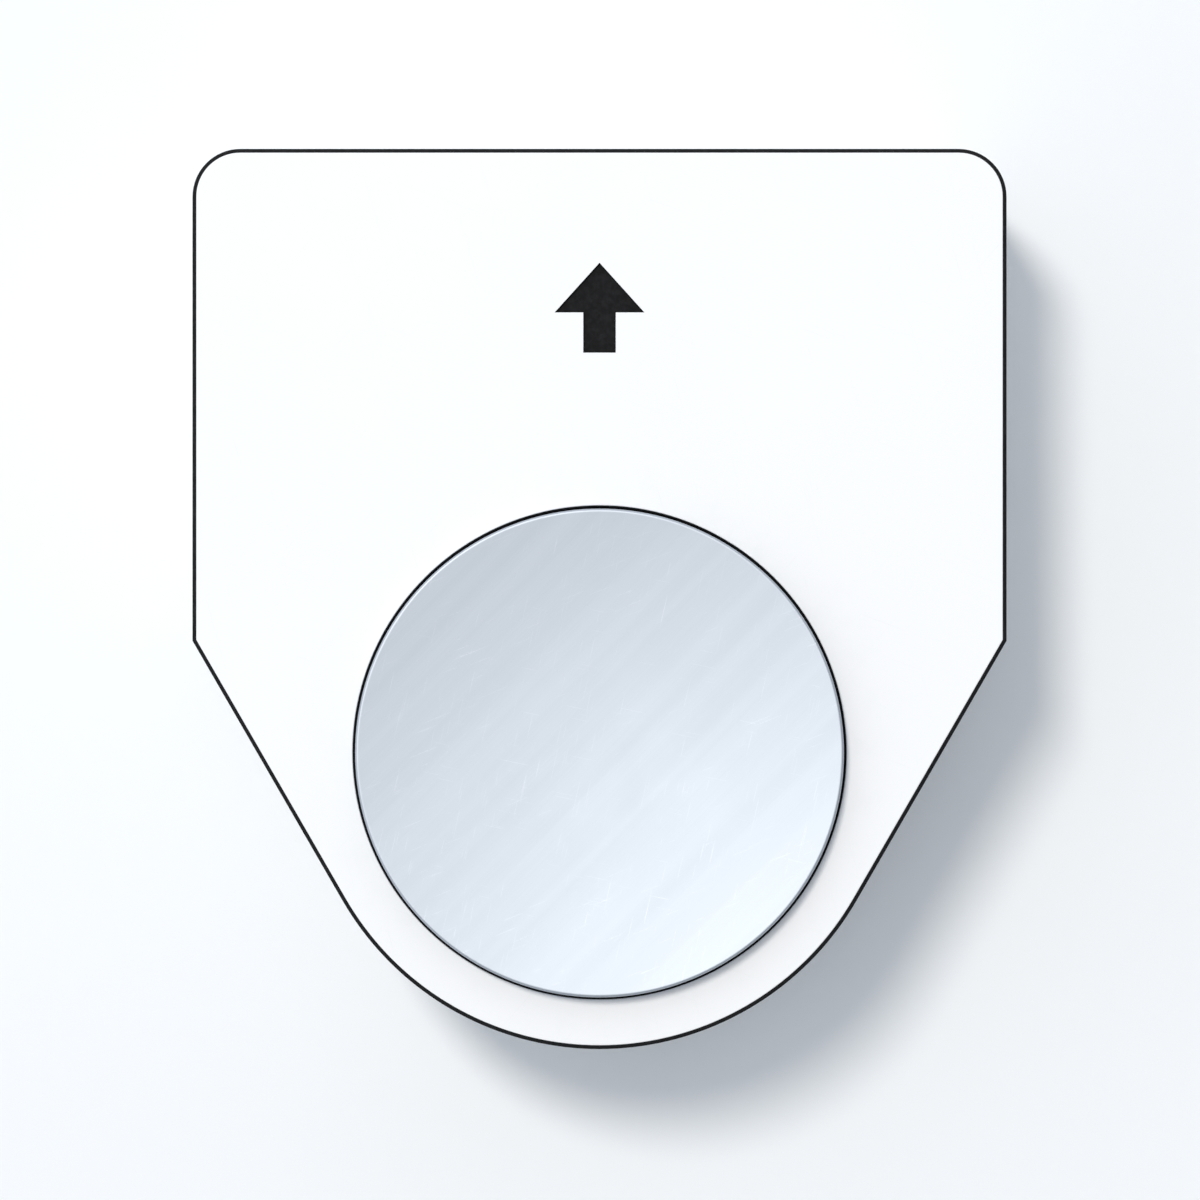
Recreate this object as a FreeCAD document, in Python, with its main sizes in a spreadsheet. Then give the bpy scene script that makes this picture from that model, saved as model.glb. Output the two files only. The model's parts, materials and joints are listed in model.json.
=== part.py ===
import FreeCAD, Part

import math
import operator
import os

import Sketcher

# A wall-mounted pedestrian push button: a shield-shaped white face with an up arrow over one large round
# metal button, a cast housing behind it, and a one-circuit contact block that the button works.
#
# The frame: +Z is up, +X is to the right of someone facing the button, and the face looks along -Y.
# The wall is the plane Y = 0, and the button's axis goes through the origin. A "level" below is a
# distance in front of the wall, so the point at level L has Y = -L.

Vector = FreeCAD.Vector
doc = FreeCAD.newDocument("push_button")
sheet = doc.addObject("Spreadsheet::Sheet", "Sizes")
aliases = []
exported = []
least_cut = 1e-3  # volume that a cut removes at least
overcut = 1  # how far a cut that goes right through starts outside the piece
runs_per_turn = 16  # straight runs in each turn of a spring
closed_pitch = 1.15  # pitch of a spring's closed end coils, in wire thicknesses


class Dim:
    """A number, with the spreadsheet expression that gives it."""

    def __init__(self, value, text):
        self.value = value
        self.text = text

    def __add__(self, other):
        return combined(self, "+", other)

    def __radd__(self, other):
        return combined(other, "+", self)

    def __sub__(self, other):
        return combined(self, "-", other)

    def __rsub__(self, other):
        return combined(other, "-", self)

    def __mul__(self, other):
        return combined(self, "*", other)

    def __rmul__(self, other):
        return combined(other, "*", self)

    def __truediv__(self, other):
        return combined(self, "/", other)

    def __neg__(self):
        return Dim(-self.value, f"(-{self.text})")


def as_dim(number):
    return number if isinstance(number, Dim) else Dim(float(number), repr(float(number)))


def combined(left, sign, right):
    left, right = as_dim(left), as_dim(right)
    work = {"+": operator.add, "-": operator.sub, "*": operator.mul, "/": operator.truediv}[sign]
    return Dim(work(left.value, right.value), f"({left.text} {sign} {right.text})")


def cosine(angle):
    return Dim(math.cos(math.radians(angle.value)), f"cos({angle.text} * 1 deg)")


def sine(angle):
    return Dim(math.sin(math.radians(angle.value)), f"sin({angle.text} * 1 deg)")


def root(dim):
    return Dim(math.sqrt(dim.value), f"sqrt({dim.text})")


def larger(left, right):
    left, right = as_dim(left), as_dim(right)
    return Dim(max(left.value, right.value), f"max({left.text}; {right.text})")


def size(alias, number, meaning):
    """A driving dimension: one row of the spreadsheet, in millimetres or degrees."""
    aliases.append(alias)
    row = len(aliases)
    sheet.set(f"A{row}", meaning)
    sheet.set(f"B{row}", str(number))
    sheet.setAlias(f"B{row}", alias)
    return Dim(float(number), f"Sizes.{alias}")


# Driving dimensions: the face.
face_width = size("face_width", 85, "width of the face")
top_height = size("top_height", 63, "button axis to the top edge")
border_width = size("border_width", 5.6, "face border round the lower half of the button")
corner_radius = size("corner_radius", 5, "top corners of the face")
taper_angle = size("taper_angle", 30, "lean of the lower sides from upright, degrees")
legend_thick = size("legend_thick", 2, "legend plate")
edge_bevel = size("edge_bevel", 0.4, "bevel round the legend plate, which bares its core")
hole_bevel = size("hole_bevel", 0.25, "bevel round the button hole of the legend plate")
adhesive_thick = size("adhesive_thick", 0.25, "adhesive sheet under the legend plate")
adhesive_inset = size("adhesive_inset", 1, "adhesive sheet edge inside the legend plate edge")
arrow_width = size("arrow_width", 9.4, "arrow across its head")
arrow_length = size("arrow_length", 9.4, "arrow from tip to tail")
arrow_head = size("arrow_head", 5.2, "length of the arrow's head")
arrow_shaft = size("arrow_shaft", 3.4, "width of the arrow's shaft")
arrow_middle = size("arrow_middle", 46.4, "middle of the arrow above the button axis")
arrow_depth = size("arrow_depth", 0.5, "depth of the arrow's engraving")

# Driving dimensions: the casing.
wall_gasket_thick = size("wall_gasket_thick", 1.5, "rubber gasket against the wall")
wall_gasket_inset = size("wall_gasket_inset", 1.5, "wall gasket edge inside the plate edge")
hole_room = size("hole_room", 0.6, "holes of the wall gasket round what they clear")
plate_thick = size("plate_thick", 4.5, "back plate")
plate_bevel = size("plate_bevel", 0.6, "bevel round the back of the plate")
gasket_thick = size("gasket_thick", 1, "gasket between housing and back plate")
gasket_inset = size("gasket_inset", 0.35, "gasket edge inside the housing edge")
outline_step = size("outline_step", 0.15, "housing edge inside the legend plate edge")
cavity_corner = size("cavity_corner", 2, "top corners of the housing's inside")
housing_wall = size("housing_wall", 3, "side wall of the housing")
web_thick = size("web_thick", 3, "front web of the housing")
boss_radius = size("boss_radius", 4.5, "housing bosses for the cover screws")
boss_margin = size("boss_margin", 7, "cover screws in from the edges of the face")
low_screw_gap = size("low_screw_gap", 1.3, "lower bosses clear of the button flange")
cover_screw_radius = size("cover_screw_radius", 2, "cover screw thread, M4")
cover_screw_length = size("cover_screw_length", 14, "cover screw, head included")
cover_head_radius = size("cover_head_radius", 4, "countersunk head of the cover screw")
screw_clear = size("screw_clear", 0.2, "radial clearance of screws in plain holes")
screw_point = size("screw_point", 0.5, "bevel at the ends of screws and pins")
socket_flats = size("socket_flats", 2.5, "hexagon socket of the cover screws, across its flats")
socket_pin = size("socket_pin", 0.45, "radius of the pin in that socket")
socket_depth = size("socket_depth", 1.8, "depth of that socket")
fixing_low_margin = size("fixing_low_margin", 11, "lower fixing above the foot of the face")
fixing_high_margin = size("fixing_high_margin", 13, "upper fixing below the top of the face")
fixing_radius = size("fixing_radius", 2.5, "tapping bore of the M6 inserts")
insert_radius = size("insert_radius", 4, "outside of the inserts")
insert_length = size("insert_length", 9, "length of the inserts")
fixing_boss_radius = size("fixing_boss_radius", 6, "plate bosses that hold the inserts")
high_boss_height = size("high_boss_height", 6.5, "upper fixing boss above the plate")
cable_drop = size("cable_drop", 19, "cable entry below the upper fixing")
cable_radius = size("cable_radius", 4, "bore of the cable grommet")
grommet_neck = size("grommet_neck", 7, "radius of the grommet neck in the plate")
grommet_flange = size("grommet_flange", 9, "radius of the grommet flanges")
grommet_lip = size("grommet_lip", 1.2, "thickness of the grommet flanges")
grommet_bevel = size("grommet_bevel", 0.5, "bevel of the grommet flanges")
earth_across = size("earth_across", 23, "earth terminal from the centre line")
earth_drop = size("earth_drop", 10, "earth terminal below the upper fixing")
earth_boss_radius = size("earth_boss_radius", 4.5, "boss of the earth terminal")
earth_boss_height = size("earth_boss_height", 2.5, "height of that boss above the plate")
earth_screw_radius = size("earth_screw_radius", 2, "earth screw thread, M4")
earth_thread = size("earth_thread", 5.5, "tapped depth of the earth terminal")
earth_washer_thick = size("earth_washer_thick", 0.8, "cup washer of the earth screw")
drain_radius = size("drain_radius", 1.25, "drain hole at the foot of the housing")
drain_level = size("drain_level", 14, "drain hole in front of the wall")
head_spread = size("head_spread", 1.85, "pan heads, radius for each millimetre of thread radius")
head_rise = size("head_rise", 1.2, "pan heads, height for each millimetre of thread radius")
head_edge = size("head_edge", 0.65, "upright edge of a pan head, share of its height")
head_crown = size("head_crown", 0.75, "flat top of a pan head, share of its radius")
slot_depth = size("slot_depth", 0.55, "cross slot of a pan head, share of its height")
slot_reach = size("slot_reach", 0.6, "arms of that slot, share of the head's radius")
slot_half = size("slot_half", 0.22, "half width of those arms, share of the thread's radius")

# Driving dimensions: the button.
button_diameter = size("button_diameter", 50.8, "button face, two inches across")
button_travel = size("button_travel", 3, "button stroke")
button_gap = size("button_gap", 0.2, "button to the legend plate hole, radial")
button_proud = size("button_proud", 3, "button rim in front of the face at rest")
cap_face = size("cap_face", 3, "thickness of the button face at its rim")
cap_wall = size("cap_wall", 2, "button skirt")
cap_dish = size("cap_dish", 1.2, "depth of the dished button face")
cap_land = size("cap_land", 0.6, "flat rim round the dish")
cap_round = size("cap_round", 0.4, "rounding of the button rim")
cap_hub_radius = size("cap_hub_radius", 8, "hub inside the button cap")
cap_hub_height = size("cap_hub_height", 2.5, "height of that hub")
flange_thick = size("flange_thick", 2, "retaining flange of the cap")
flange_clear = size("flange_clear", 0.65, "flange to the housing wall")
stop_thick = size("stop_thick", 1, "rubber stop ring in front of the flange")
web_clear = size("web_clear", 0.4, "button skirt to the bore of the web")
seal_width = size("seal_width", 1.6, "wiper seal along the axis")
seal_depth = size("seal_depth", 1.1, "wiper seal groove in the web")
seal_lip = size("seal_lip", 0.32, "half width of the wiper lip's edge")
seal_clear = size("seal_clear", 0.05, "wiper lip to the skirt")
stem_radius = size("stem_radius", 4, "button stem")
stud_radius = size("stud_radius", 2.5, "threaded end of the stem, M5")
stud_length = size("stud_length", 3.2, "depth of the stem's tapped hole in the cap")
stud_short = size("stud_short", 0.2, "stem short of the end of that hole")
guide_pin_radius = size("guide_pin_radius", 1.5, "guide pin that keeps the cap from turning")
guide_pin_margin = size("guide_pin_margin", 4.4, "guide pin in from the inside of the skirt")
guide_pin_hold = size("guide_pin_hold", 1.5, "guide pin pressed into the cap")
guide_pin_clear = size("guide_pin_clear", 0.1, "guide pin in the carrier, radial")
return_wire = size("return_wire", 1.6, "return spring wire")
return_gap = size("return_gap", 1.6, "return spring round the carrier hub")
return_coils = size("return_coils", 3, "return spring, working turns")

# Driving dimensions: the carrier.
carrier_thick = size("carrier_thick", 3, "carrier plate")
carrier_gap = size("carrier_gap", 0.5, "carrier behind the pressed flange")
carrier_boss_radius = size("carrier_boss_radius", 3.25, "housing bosses for the carrier screws")
carrier_screw_angle = size("carrier_screw_angle", 52, "carrier screws above the button axis, degrees")
carrier_screw_gap = size("carrier_screw_gap", 1, "carrier bosses clear of the flange")
carrier_screw_radius = size("carrier_screw_radius", 1.5, "carrier screw thread, M3")
carrier_screw_hold = size("carrier_screw_hold", 5.5, "depth of the carrier screw's hole")
carrier_ear = size("carrier_ear", 1, "carrier beyond the bosses that it sits on")
post_gap = size("post_gap", 0.1, "lower fixing boss behind the carrier")
hub_wall = size("hub_wall", 2, "carrier hub round the bush")
bush_wall = size("bush_wall", 1.95, "wall of the guide bush")
bush_clear = size("bush_clear", 0.05, "stem in the bush, radial")
bush_flange = size("bush_flange", 1, "thickness of the bush's flange")
bush_lip = size("bush_lip", 1.7, "reach of that flange beyond the bush")
stroke_reserve = size("stroke_reserve", 0.1, "cap hub short of the bush at full stroke")
spring_washer_thick = size("spring_washer_thick", 0.7, "washers under the carrier screws")
washer_thick = size("washer_thick", 0.5, "thrust washer")
washer_reach = size("washer_reach", 0.6, "thrust washer beyond the clip")
clip_thick = size("clip_thick", 0.9, "retaining clip")
clip_reach = size("clip_reach", 2.8, "retaining clip beyond the stem")
clip_groove = size("clip_groove", 1, "depth of the clip groove in the stem")
clip_grip = size("clip_grip", 0.4, "mouth of the clip narrower than the groove, each side")
clip_eye = size("clip_eye", 0.9, "eyes of the clip")
stem_tail = size("stem_tail", 1.2, "stem behind the clip")

# Driving dimensions: the contact block.
block_floor = size("block_floor", 1.2, "floor of the contact block")
spring_room = size("spring_room", 2.2, "room for the pressed plunger spring")
ledge_thick = size("ledge_thick", 1.3, "plunger ledge under the bridge")
bar_thick = size("bar_thick", 0.8, "contact bridge and fixed contacts")
bar_width = size("bar_width", 4, "width of the contact bridge")
bar_gap = size("bar_gap", 0.15, "bridge in the plunger's window, each side")
tip_thick = size("tip_thick", 0.6, "silver contact tips")
tip_radius = size("tip_radius", 1.5, "radius of the contact tips")
tip_margin = size("tip_margin", 0.1, "bridge beyond its tips")
tip_spacing = size("tip_spacing", 18.4, "contact tips, centre to centre")
bridge_share = size("bridge_share", 0.6, "bridge travel for each millimetre of the button")
touch_gap = size("touch_gap", 0.02, "tips short of each other at full stroke")
rest_gap = size("rest_gap", 0.05, "parts that follow each other, at rest")
head_room = size("head_room", 1.7, "bridge to the block cover")
block_cover = size("block_cover", 1.5, "cover of the contact block")
plunger_clear = size("plunger_clear", 0.2, "plunger in its cover and cavity")
plunger_head = size("plunger_head", 3, "radius of the plunger's round head")
plunger_reserve = size("plunger_reserve", 0.45, "plunger head in front of the cover when pressed")
window_wall = size("window_wall", 1.05, "plunger wall beside its window")
window_roof = size("window_roof", 1.5, "plunger above its window")
contact_spring_min = size("contact_spring_min", 2.2, "contact spring when pressed")
contact_spring_radius = size("contact_spring_radius", 1.55, "contact spring, mean radius")
contact_spring_coils = size("contact_spring_coils", 2, "contact spring, working turns")
plunger_spring_radius = size("plunger_spring_radius", 2.3, "plunger spring, mean radius")
plunger_spring_coils = size("plunger_spring_coils", 3, "plunger spring, working turns")
fine_wire = size("fine_wire", 0.4, "wire of those two springs")
strip_width = size("strip_width", 5.6, "width of the fixed contacts")
strip_margin = size("strip_margin", 0.7, "fixed contacts inward of their tips")
bridge_room = size("bridge_room", 1.2, "bridge to the barriers at its ends")
barrier_thick = size("barrier_thick", 0.8, "barrier by the terminals")
terminal_radius = size("terminal_radius", 1.6, "terminal screw thread")
terminal_thread = size("terminal_thread", 2.6, "tapped depth under each fixed contact")
clamp_side = size("clamp_side", 6.2, "square terminal clamps")
clamp_thick = size("clamp_thick", 0.8, "thickness of those clamps")
clamp_gap = size("clamp_gap", 0.3, "clamps to the ends of their bays")
bay_gap = size("bay_gap", 0.7, "clamps to the sides of their bays")
block_screw_across = size("block_screw_across", 9.2, "block screws from the centre")
block_screw_wall = size("block_screw_wall", 0.7, "block screw holes to the cavity")
block_screw_margin = size("block_screw_margin", 2.8, "block screws in from the block's edge")
block_screw_radius = size("block_screw_radius", 1.5, "block screw thread, M3")
block_thread = size("block_thread", 3.5, "tapped depth for the block screws in the plate")

# Levels, from the wall outwards.
half_width = face_width / 2
button_radius = button_diameter / 2
nose_radius = button_radius + border_width

plate_back = wall_gasket_thick
plate_front = plate_back + plate_thick
housing_back = plate_front + gasket_thick

floor_front = plate_front + block_floor
ledge_back = floor_front + spring_room + button_travel
bar_back = ledge_back + ledge_thick + rest_gap
bar_front = bar_back + bar_thick
bridge_tip_back = bar_back - tip_thick
fixed_tip_front = bridge_tip_back - button_travel * bridge_share - touch_gap
strip_front = fixed_tip_front - tip_thick
strip_back = strip_front - bar_thick
window_front = bar_front + contact_spring_min + button_travel * (1 - bridge_share)
cover_back = bar_front + head_room
block_front = cover_back + block_cover
plunger_front = block_front + button_travel + plunger_reserve

stem_back = plunger_front + rest_gap
clip_back = stem_back + stem_tail
clip_front = clip_back + clip_thick
washer_front = clip_front + washer_thick
carrier_back = washer_front + stroke_reserve
carrier_front = carrier_back + carrier_thick
flange_back = carrier_front + carrier_gap + button_travel
flange_front = flange_back + flange_thick
web_back = flange_front + stop_thick
web_front = web_back + web_thick
legend_back = web_front + adhesive_thick
legend_front = legend_back + legend_thick
cap_rim = legend_front + button_proud
cap_inner = cap_rim - cap_face
cap_hub_back = cap_inner - cap_hub_height
bush_front = cap_hub_back - button_travel - stroke_reserve
hub_front = bush_front - bush_flange
seal_middle = (web_back + web_front) / 2
insert_front = plate_back + insert_length
earth_seat = plate_front + earth_boss_height
earth_thread_end = earth_seat - earth_thread
block_thread_end = plate_front - block_thread
terminal_thread_end = strip_back - terminal_thread

# Places and radii that pieces share.
housing_nose = nose_radius - outline_step - housing_wall
flange_radius = housing_nose - flange_clear
web_bore = button_radius + web_clear
legend_bore = button_radius + button_gap
cap_bore = button_radius - cap_wall
guide_pin_height = cap_bore - guide_pin_margin
bush_radius = stem_radius + bush_clear + bush_wall
hub_radius = bush_radius + hub_wall
return_radius = hub_radius + return_gap + return_wire / 2
clip_radius = stem_radius + clip_reach

# The lower cover screws keep their margin from both lower edges, and rise where the button needs the room.
screw_across = half_width - boss_margin
low_corner = (screw_across * cosine(taper_angle) - (nose_radius - boss_margin)) / sine(taper_angle)
low_reach = flange_radius + boss_radius + low_screw_gap
low_clear = root(larger(low_reach * low_reach - screw_across * screw_across, 0))
low_height = larger(low_corner, low_clear)
high_height = top_height - boss_margin
cover_places = [(side * screw_across, height) for height in (low_height, high_height) for side in (1, -1)]

carrier_reach = flange_radius + carrier_boss_radius + carrier_screw_gap
carrier_across = carrier_reach * cosine(carrier_screw_angle)
carrier_height = carrier_reach * sine(carrier_screw_angle)
carrier_places = [(side * carrier_across, carrier_height) for side in (1, -1)]

low_fixing = (as_dim(0), fixing_low_margin - nose_radius)
high_fixing = (as_dim(0), top_height - fixing_high_margin)
cable_height = high_fixing[1] - cable_drop
earth_height = high_fixing[1] - earth_drop

window_half = bar_width / 2 + bar_gap
plunger_half = window_half + window_wall
cavity_half = plunger_half + plunger_clear
bar_half = tip_spacing / 2 + tip_radius + tip_margin
strip_start = tip_spacing / 2 - tip_radius - strip_margin
barrier_start = bar_half + bridge_room
bay_start = barrier_start + barrier_thick
terminal_across = bay_start + clamp_gap + clamp_side / 2
block_half = terminal_across + clamp_side / 2 + clamp_gap
block_screw_height = cavity_half + block_screw_radius + screw_clear + block_screw_wall
block_tall = block_screw_height + block_screw_margin
block_places = [(-block_screw_across, block_screw_height), (block_screw_across, -block_screw_height)]


# Tools.
def bind(thing, path, dim):
    thing.setExpression(path, as_dim(dim).text)


def plane_of(body, role):
    return next(item for item in body.Origin.OriginFeatures if item.Role == role)


class Outline:
    """A sketch on one of a body's planes, whose points and radii follow the spreadsheet."""

    def __init__(self, body, role, level=None):
        self.sketch = body.newObject("Sketcher::SketchObject", "Sketch")
        self.sketch.AttachmentSupport = (plane_of(body, role), [""])
        self.sketch.MapMode = "FlatFace"
        if level is not None:
            bind(self.sketch, "AttachmentOffset.Base.z", level)

    def tie(self, kind, *places, dim):
        """Adds a dimension and gives it the expression of dim."""
        index = self.sketch.addConstraint(Sketcher.Constraint(kind, *places, as_dim(dim).value))
        self.sketch.renameConstraint(index, f"size_{index}")
        bind(self.sketch, f"Constraints.size_{index}", dim)

    def relate(self, *words):
        self.sketch.addConstraint(Sketcher.Constraint(*words))

    def pin(self, curve, end, across, up):
        self.tie("DistanceX", curve, end, dim=across)
        self.tie("DistanceY", curve, end, dim=up)

    def line(self, start, end):
        return self.sketch.addGeometry(Part.LineSegment(Vector(*start, 0), Vector(*end, 0)), False)

    def arc(self, centre, radius, start_deg, end_deg):
        circle = Part.Circle(Vector(*centre, 0), Vector(0, 0, 1), radius)
        arc = Part.ArcOfCircle(circle, math.radians(start_deg), math.radians(end_deg))
        return self.sketch.addGeometry(arc, False)

    def circle(self, across, up, radius):
        centre = Vector(as_dim(across).value, as_dim(up).value, 0)
        curve = Part.Circle(centre, Vector(0, 0, 1), as_dim(radius).value)
        index = self.sketch.addGeometry(curve, False)
        self.tie("Radius", index, dim=radius)
        self.pin(index, 3, across, up)

    def circles(self, places, radius):
        for across, up in places:
            self.circle(across, up, radius)

    def polygon(self, points):
        corners = [(as_dim(across), as_dim(up)) for across, up in points]
        numbers = [(across.value, up.value) for across, up in corners]
        lines = [self.line(a, b) for a, b in zip(numbers, numbers[1:] + numbers[:1])]
        for line, following in zip(lines, lines[1:] + lines[:1]):
            self.relate("Coincident", line, 2, following, 1)
        for line, (across, up) in zip(lines, corners):
            self.pin(line, 1, across, up)

    def block(self, left, right, low, high):
        self.polygon([(left, low), (right, low), (right, high), (left, high)])

    def hexagon(self, flats):
        """A hexagon about the sketch's origin, two of its corners on the X axis."""
        half = flats / 2
        corner = half / cosine(Dim(30, "30"))
        upper = [(corner, 0), (corner / 2, half), (-corner / 2, half)]
        self.polygon(upper + [(-across, -up) for across, up in upper])

    def half_lens(self, reach, foot, rise):
        """Half of the low dome that stands rise above foot, up the sketch, and is reach wide at foot."""
        r, y, h = reach.value, foot.value, rise.value
        bend = (r**2 + h**2) / (2 * h)
        middle = y + h - bend
        dome = self.arc((0, middle), bend, math.degrees(math.asin((y - middle) / bend)), 90)
        axis = self.line((0, y + h), (0, y))
        base = self.line((0, y), (r, y))
        self.relate("Coincident", dome, 2, axis, 1)
        self.relate("Coincident", axis, 2, base, 1)
        self.relate("Coincident", base, 2, dome, 1)
        self.relate("PointOnObject", dome, 3, -2)
        self.pin(axis, 1, 0, foot + rise)
        self.pin(base, 1, 0, foot)
        self.pin(base, 2, reach, foot)

    def shield(self, half, top, nose, corner):
        """Square top with round corners, sides that lean in below, and a round nose about the origin."""
        half, top, nose, corner = as_dim(half), as_dim(top), as_dim(nose), as_dim(corner)
        lean = math.radians(taper_angle.value)
        w, t, r, c = half.value, top.value, nose.value, corner.value
        side_foot = (math.cos(lean) * w - r) / math.sin(lean)
        touch_x, touch_z = r * math.cos(lean), -r * math.sin(lean)
        top_edge = self.line((w - c, t), (c - w, t))
        left_corner = self.arc((c - w, t - c), c, 90, 180)
        left_side = self.line((-w, t - c), (-w, side_foot))
        left_lean = self.line((-w, side_foot), (-touch_x, touch_z))
        nose_arc = self.arc((0, 0), r, 180 + taper_angle.value, 360 - taper_angle.value)
        right_lean = self.line((touch_x, touch_z), (w, side_foot))
        right_side = self.line((w, side_foot), (w, t - c))
        right_corner = self.arc((w - c, t - c), c, 0, 90)
        ring = [top_edge, left_corner, left_side, left_lean, nose_arc, right_lean, right_side, right_corner]
        sharp = (left_side, right_lean)
        for curve, following in zip(ring, ring[1:] + ring[:1]):
            self.relate("Coincident" if curve in sharp else "Tangent", curve, 2, following, 1)
        self.relate("Horizontal", top_edge)
        self.relate("Vertical", left_side)
        self.relate("Vertical", right_side)
        self.relate("Coincident", nose_arc, 3, -1, 1)
        self.relate("Equal", left_corner, right_corner)
        self.relate("Equal", left_side, right_side)
        self.tie("DistanceX", right_side, 1, dim=half)
        self.tie("DistanceX", left_side, 1, dim=-half)
        self.tie("DistanceY", top_edge, 1, dim=top)
        self.tie("Radius", right_corner, dim=corner)
        self.tie("Radius", nose_arc, dim=nose)
        angle = Sketcher.Constraint("Angle", right_side, 1, right_lean, 2, math.pi - lean)
        index = self.sketch.addConstraint(angle)
        self.sketch.renameConstraint(index, f"size_{index}")
        self.sketch.setExpression(f"Constraints.size_{index}", f"(180 - {taper_angle.text}) * 1 deg")


def new_body(label):
    body = doc.addObject("PartDesign::Body", label)
    body.Label = label
    return body


def pad(body, back, front, draw):
    """Adds the drawn shape between two levels."""
    outline = Outline(body, "XZ_Plane", back)
    draw(outline)
    feature = body.newObject("PartDesign::Pad", "Pad")
    feature.Profile = outline.sketch
    bind(feature, "Length", as_dim(front) - back)
    return feature


def pocket(body, back, front, draw):
    """Removes the drawn shape between two levels. The sketch lies at the front one."""
    outline = Outline(body, "XZ_Plane", front)
    draw(outline)
    feature = body.newObject("PartDesign::Pocket", "Pocket")
    feature.Profile = outline.sketch
    bind(feature, "Length", as_dim(front) - back)
    return feature


def edges_at(feature, level, wanted):
    """Names of the edges of a feature that lie at one level and that wanted() picks."""
    doc.recompute()
    names = []
    for number, edge in enumerate(feature.Shape.Edges, 1):
        box = edge.BoundBox
        flat = box.YLength < 1e-6 and abs(box.YMin + as_dim(level).value) < 1e-6
        if flat and wanted(edge):
            names.append(f"Edge{number}")
    return names


def is_round(edge, radius):
    """True for a full circle of that radius."""
    curve = edge.Curve
    same = isinstance(curve, Part.Circle) and abs(curve.Radius - as_dim(radius).value) < 1e-6
    return same and edge.isClosed()


def corner_edges(feature, height):
    """Names of the edges along Y at the outer corners that lie at that height."""
    doc.recompute()
    names = []
    for number, edge in enumerate(feature.Shape.Edges, 1):
        box = edge.BoundBox
        at_height = abs(box.ZMin - height.value) < 1e-6 and box.ZLength < 1e-6
        if at_height and box.XLength < 1e-6:
            names.append(f"Edge{number}")
    return names


def dress(body, kind, base, edges, amount):
    """A chamfer or a fillet along the named edges."""
    feature = body.newObject(f"PartDesign::{kind}", kind)
    feature.Base = (base, edges)
    bind(feature, "Radius" if kind == "Fillet" else "Size", amount)
    body.Tip = feature
    return feature


def revolve(body, outline, kind="Revolution"):
    """Turns a sketch of the XY plane about the body's Y axis, to add or, as a Groove, to remove."""
    feature = body.newObject(f"PartDesign::{kind}", kind)
    feature.Profile = outline.sketch
    feature.ReferenceAxis = (outline.sketch, ["V_Axis"])
    feature.Angle = 360


def turned(label, outline, across=0, up=0):
    """A body turned about an axis along Y: outline is a list of (radius, level) corners."""
    body = new_body(label)
    profile = Outline(body, "XY_Plane")
    profile.polygon([(radius, -as_dim(level)) for radius, level in outline])
    revolve(body, profile)
    place(body, across, up)
    return body


def place(thing, across, up):
    bind(thing, "Placement.Base.x", across)
    bind(thing, "Placement.Base.z", up)


def ring(label, inner, outer, back, front, across=0, up=0):
    return turned(label, [(inner, back), (outer, back), (outer, front), (inner, front)], across, up)


def keep(thing):
    """Marks an object of the document as a sub-part that gets its own file."""
    exported.append(thing)
    return thing


def group(label, members):
    """Identical pieces that share one sub-part, as separate solids."""
    compound = doc.addObject("Part::Compound", label)
    compound.Links = members
    compound.Label = label
    return keep(compound)


def coil(label, wire, mean_radius, turns, back, front):
    """A compression spring along Y between two levels, with one closed coil at each end.

    The wire is bent in short straight runs, mitred where they meet.
    """
    thick, radius, length = wire.value, mean_radius.value, (front - back).value
    end_pitch = thick * closed_pitch
    rise = length - thick
    pitch = (rise - 2 * end_pitch) / turns.value
    total = turns.value + 2

    def height(turn):
        if turn < 1:
            return end_pitch * turn
        if turn > total - 1:
            return rise - end_pitch * (total - turn)
        return end_pitch + pitch * (turn - 1)

    corners = []
    for step in range(round(total * runs_per_turn) + 1):
        turn = step / runs_per_turn
        angle = math.tau * turn
        corners.append(Vector(radius * math.cos(angle), radius * math.sin(angle), height(turn) + thick / 2))
    section = Part.Wire(Part.makeCircle(thick / 2, corners[0], corners[1] - corners[0]))
    spring = doc.addObject("Part::Feature", label)
    spring.Shape = Part.makePolygon(corners).makePipeShell([section], True, False, 1)
    towards_front = FreeCAD.Rotation(Vector(1, 0, 0), 90)
    spring.Placement = FreeCAD.Placement(Vector(0, -back.value, 0), towards_front)
    spring.Label = label
    return keep(spring)


def pan_screw(label, radius, seat, tip, faces_front, across, up=0):
    """A cross-slotted pan-head screw, whose head rests on seat and faces the front or the wall."""
    outward = 1 if faces_front else -1
    head_radius = radius * head_spread
    head_height = radius * head_rise
    top = seat + outward * head_height
    corners = [
        (0, tip),
        (radius, tip),
        (radius, seat),
        (head_radius, seat),
        (head_radius, seat + outward * head_height * head_edge),
        (head_radius * head_crown, top),
        (0, top),
    ]
    body = turned(label, corners, across, up)
    floor = top - outward * head_height * slot_depth
    back, front = (floor, top) if faces_front else (top, floor)
    reach = head_radius * slot_reach
    half = radius * slot_half
    pocket(body, back, front, lambda o: o.block(-reach, reach, -half, half))
    pocket(body, back, front, lambda o: o.block(-half, half, -reach, reach))
    return body


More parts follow.
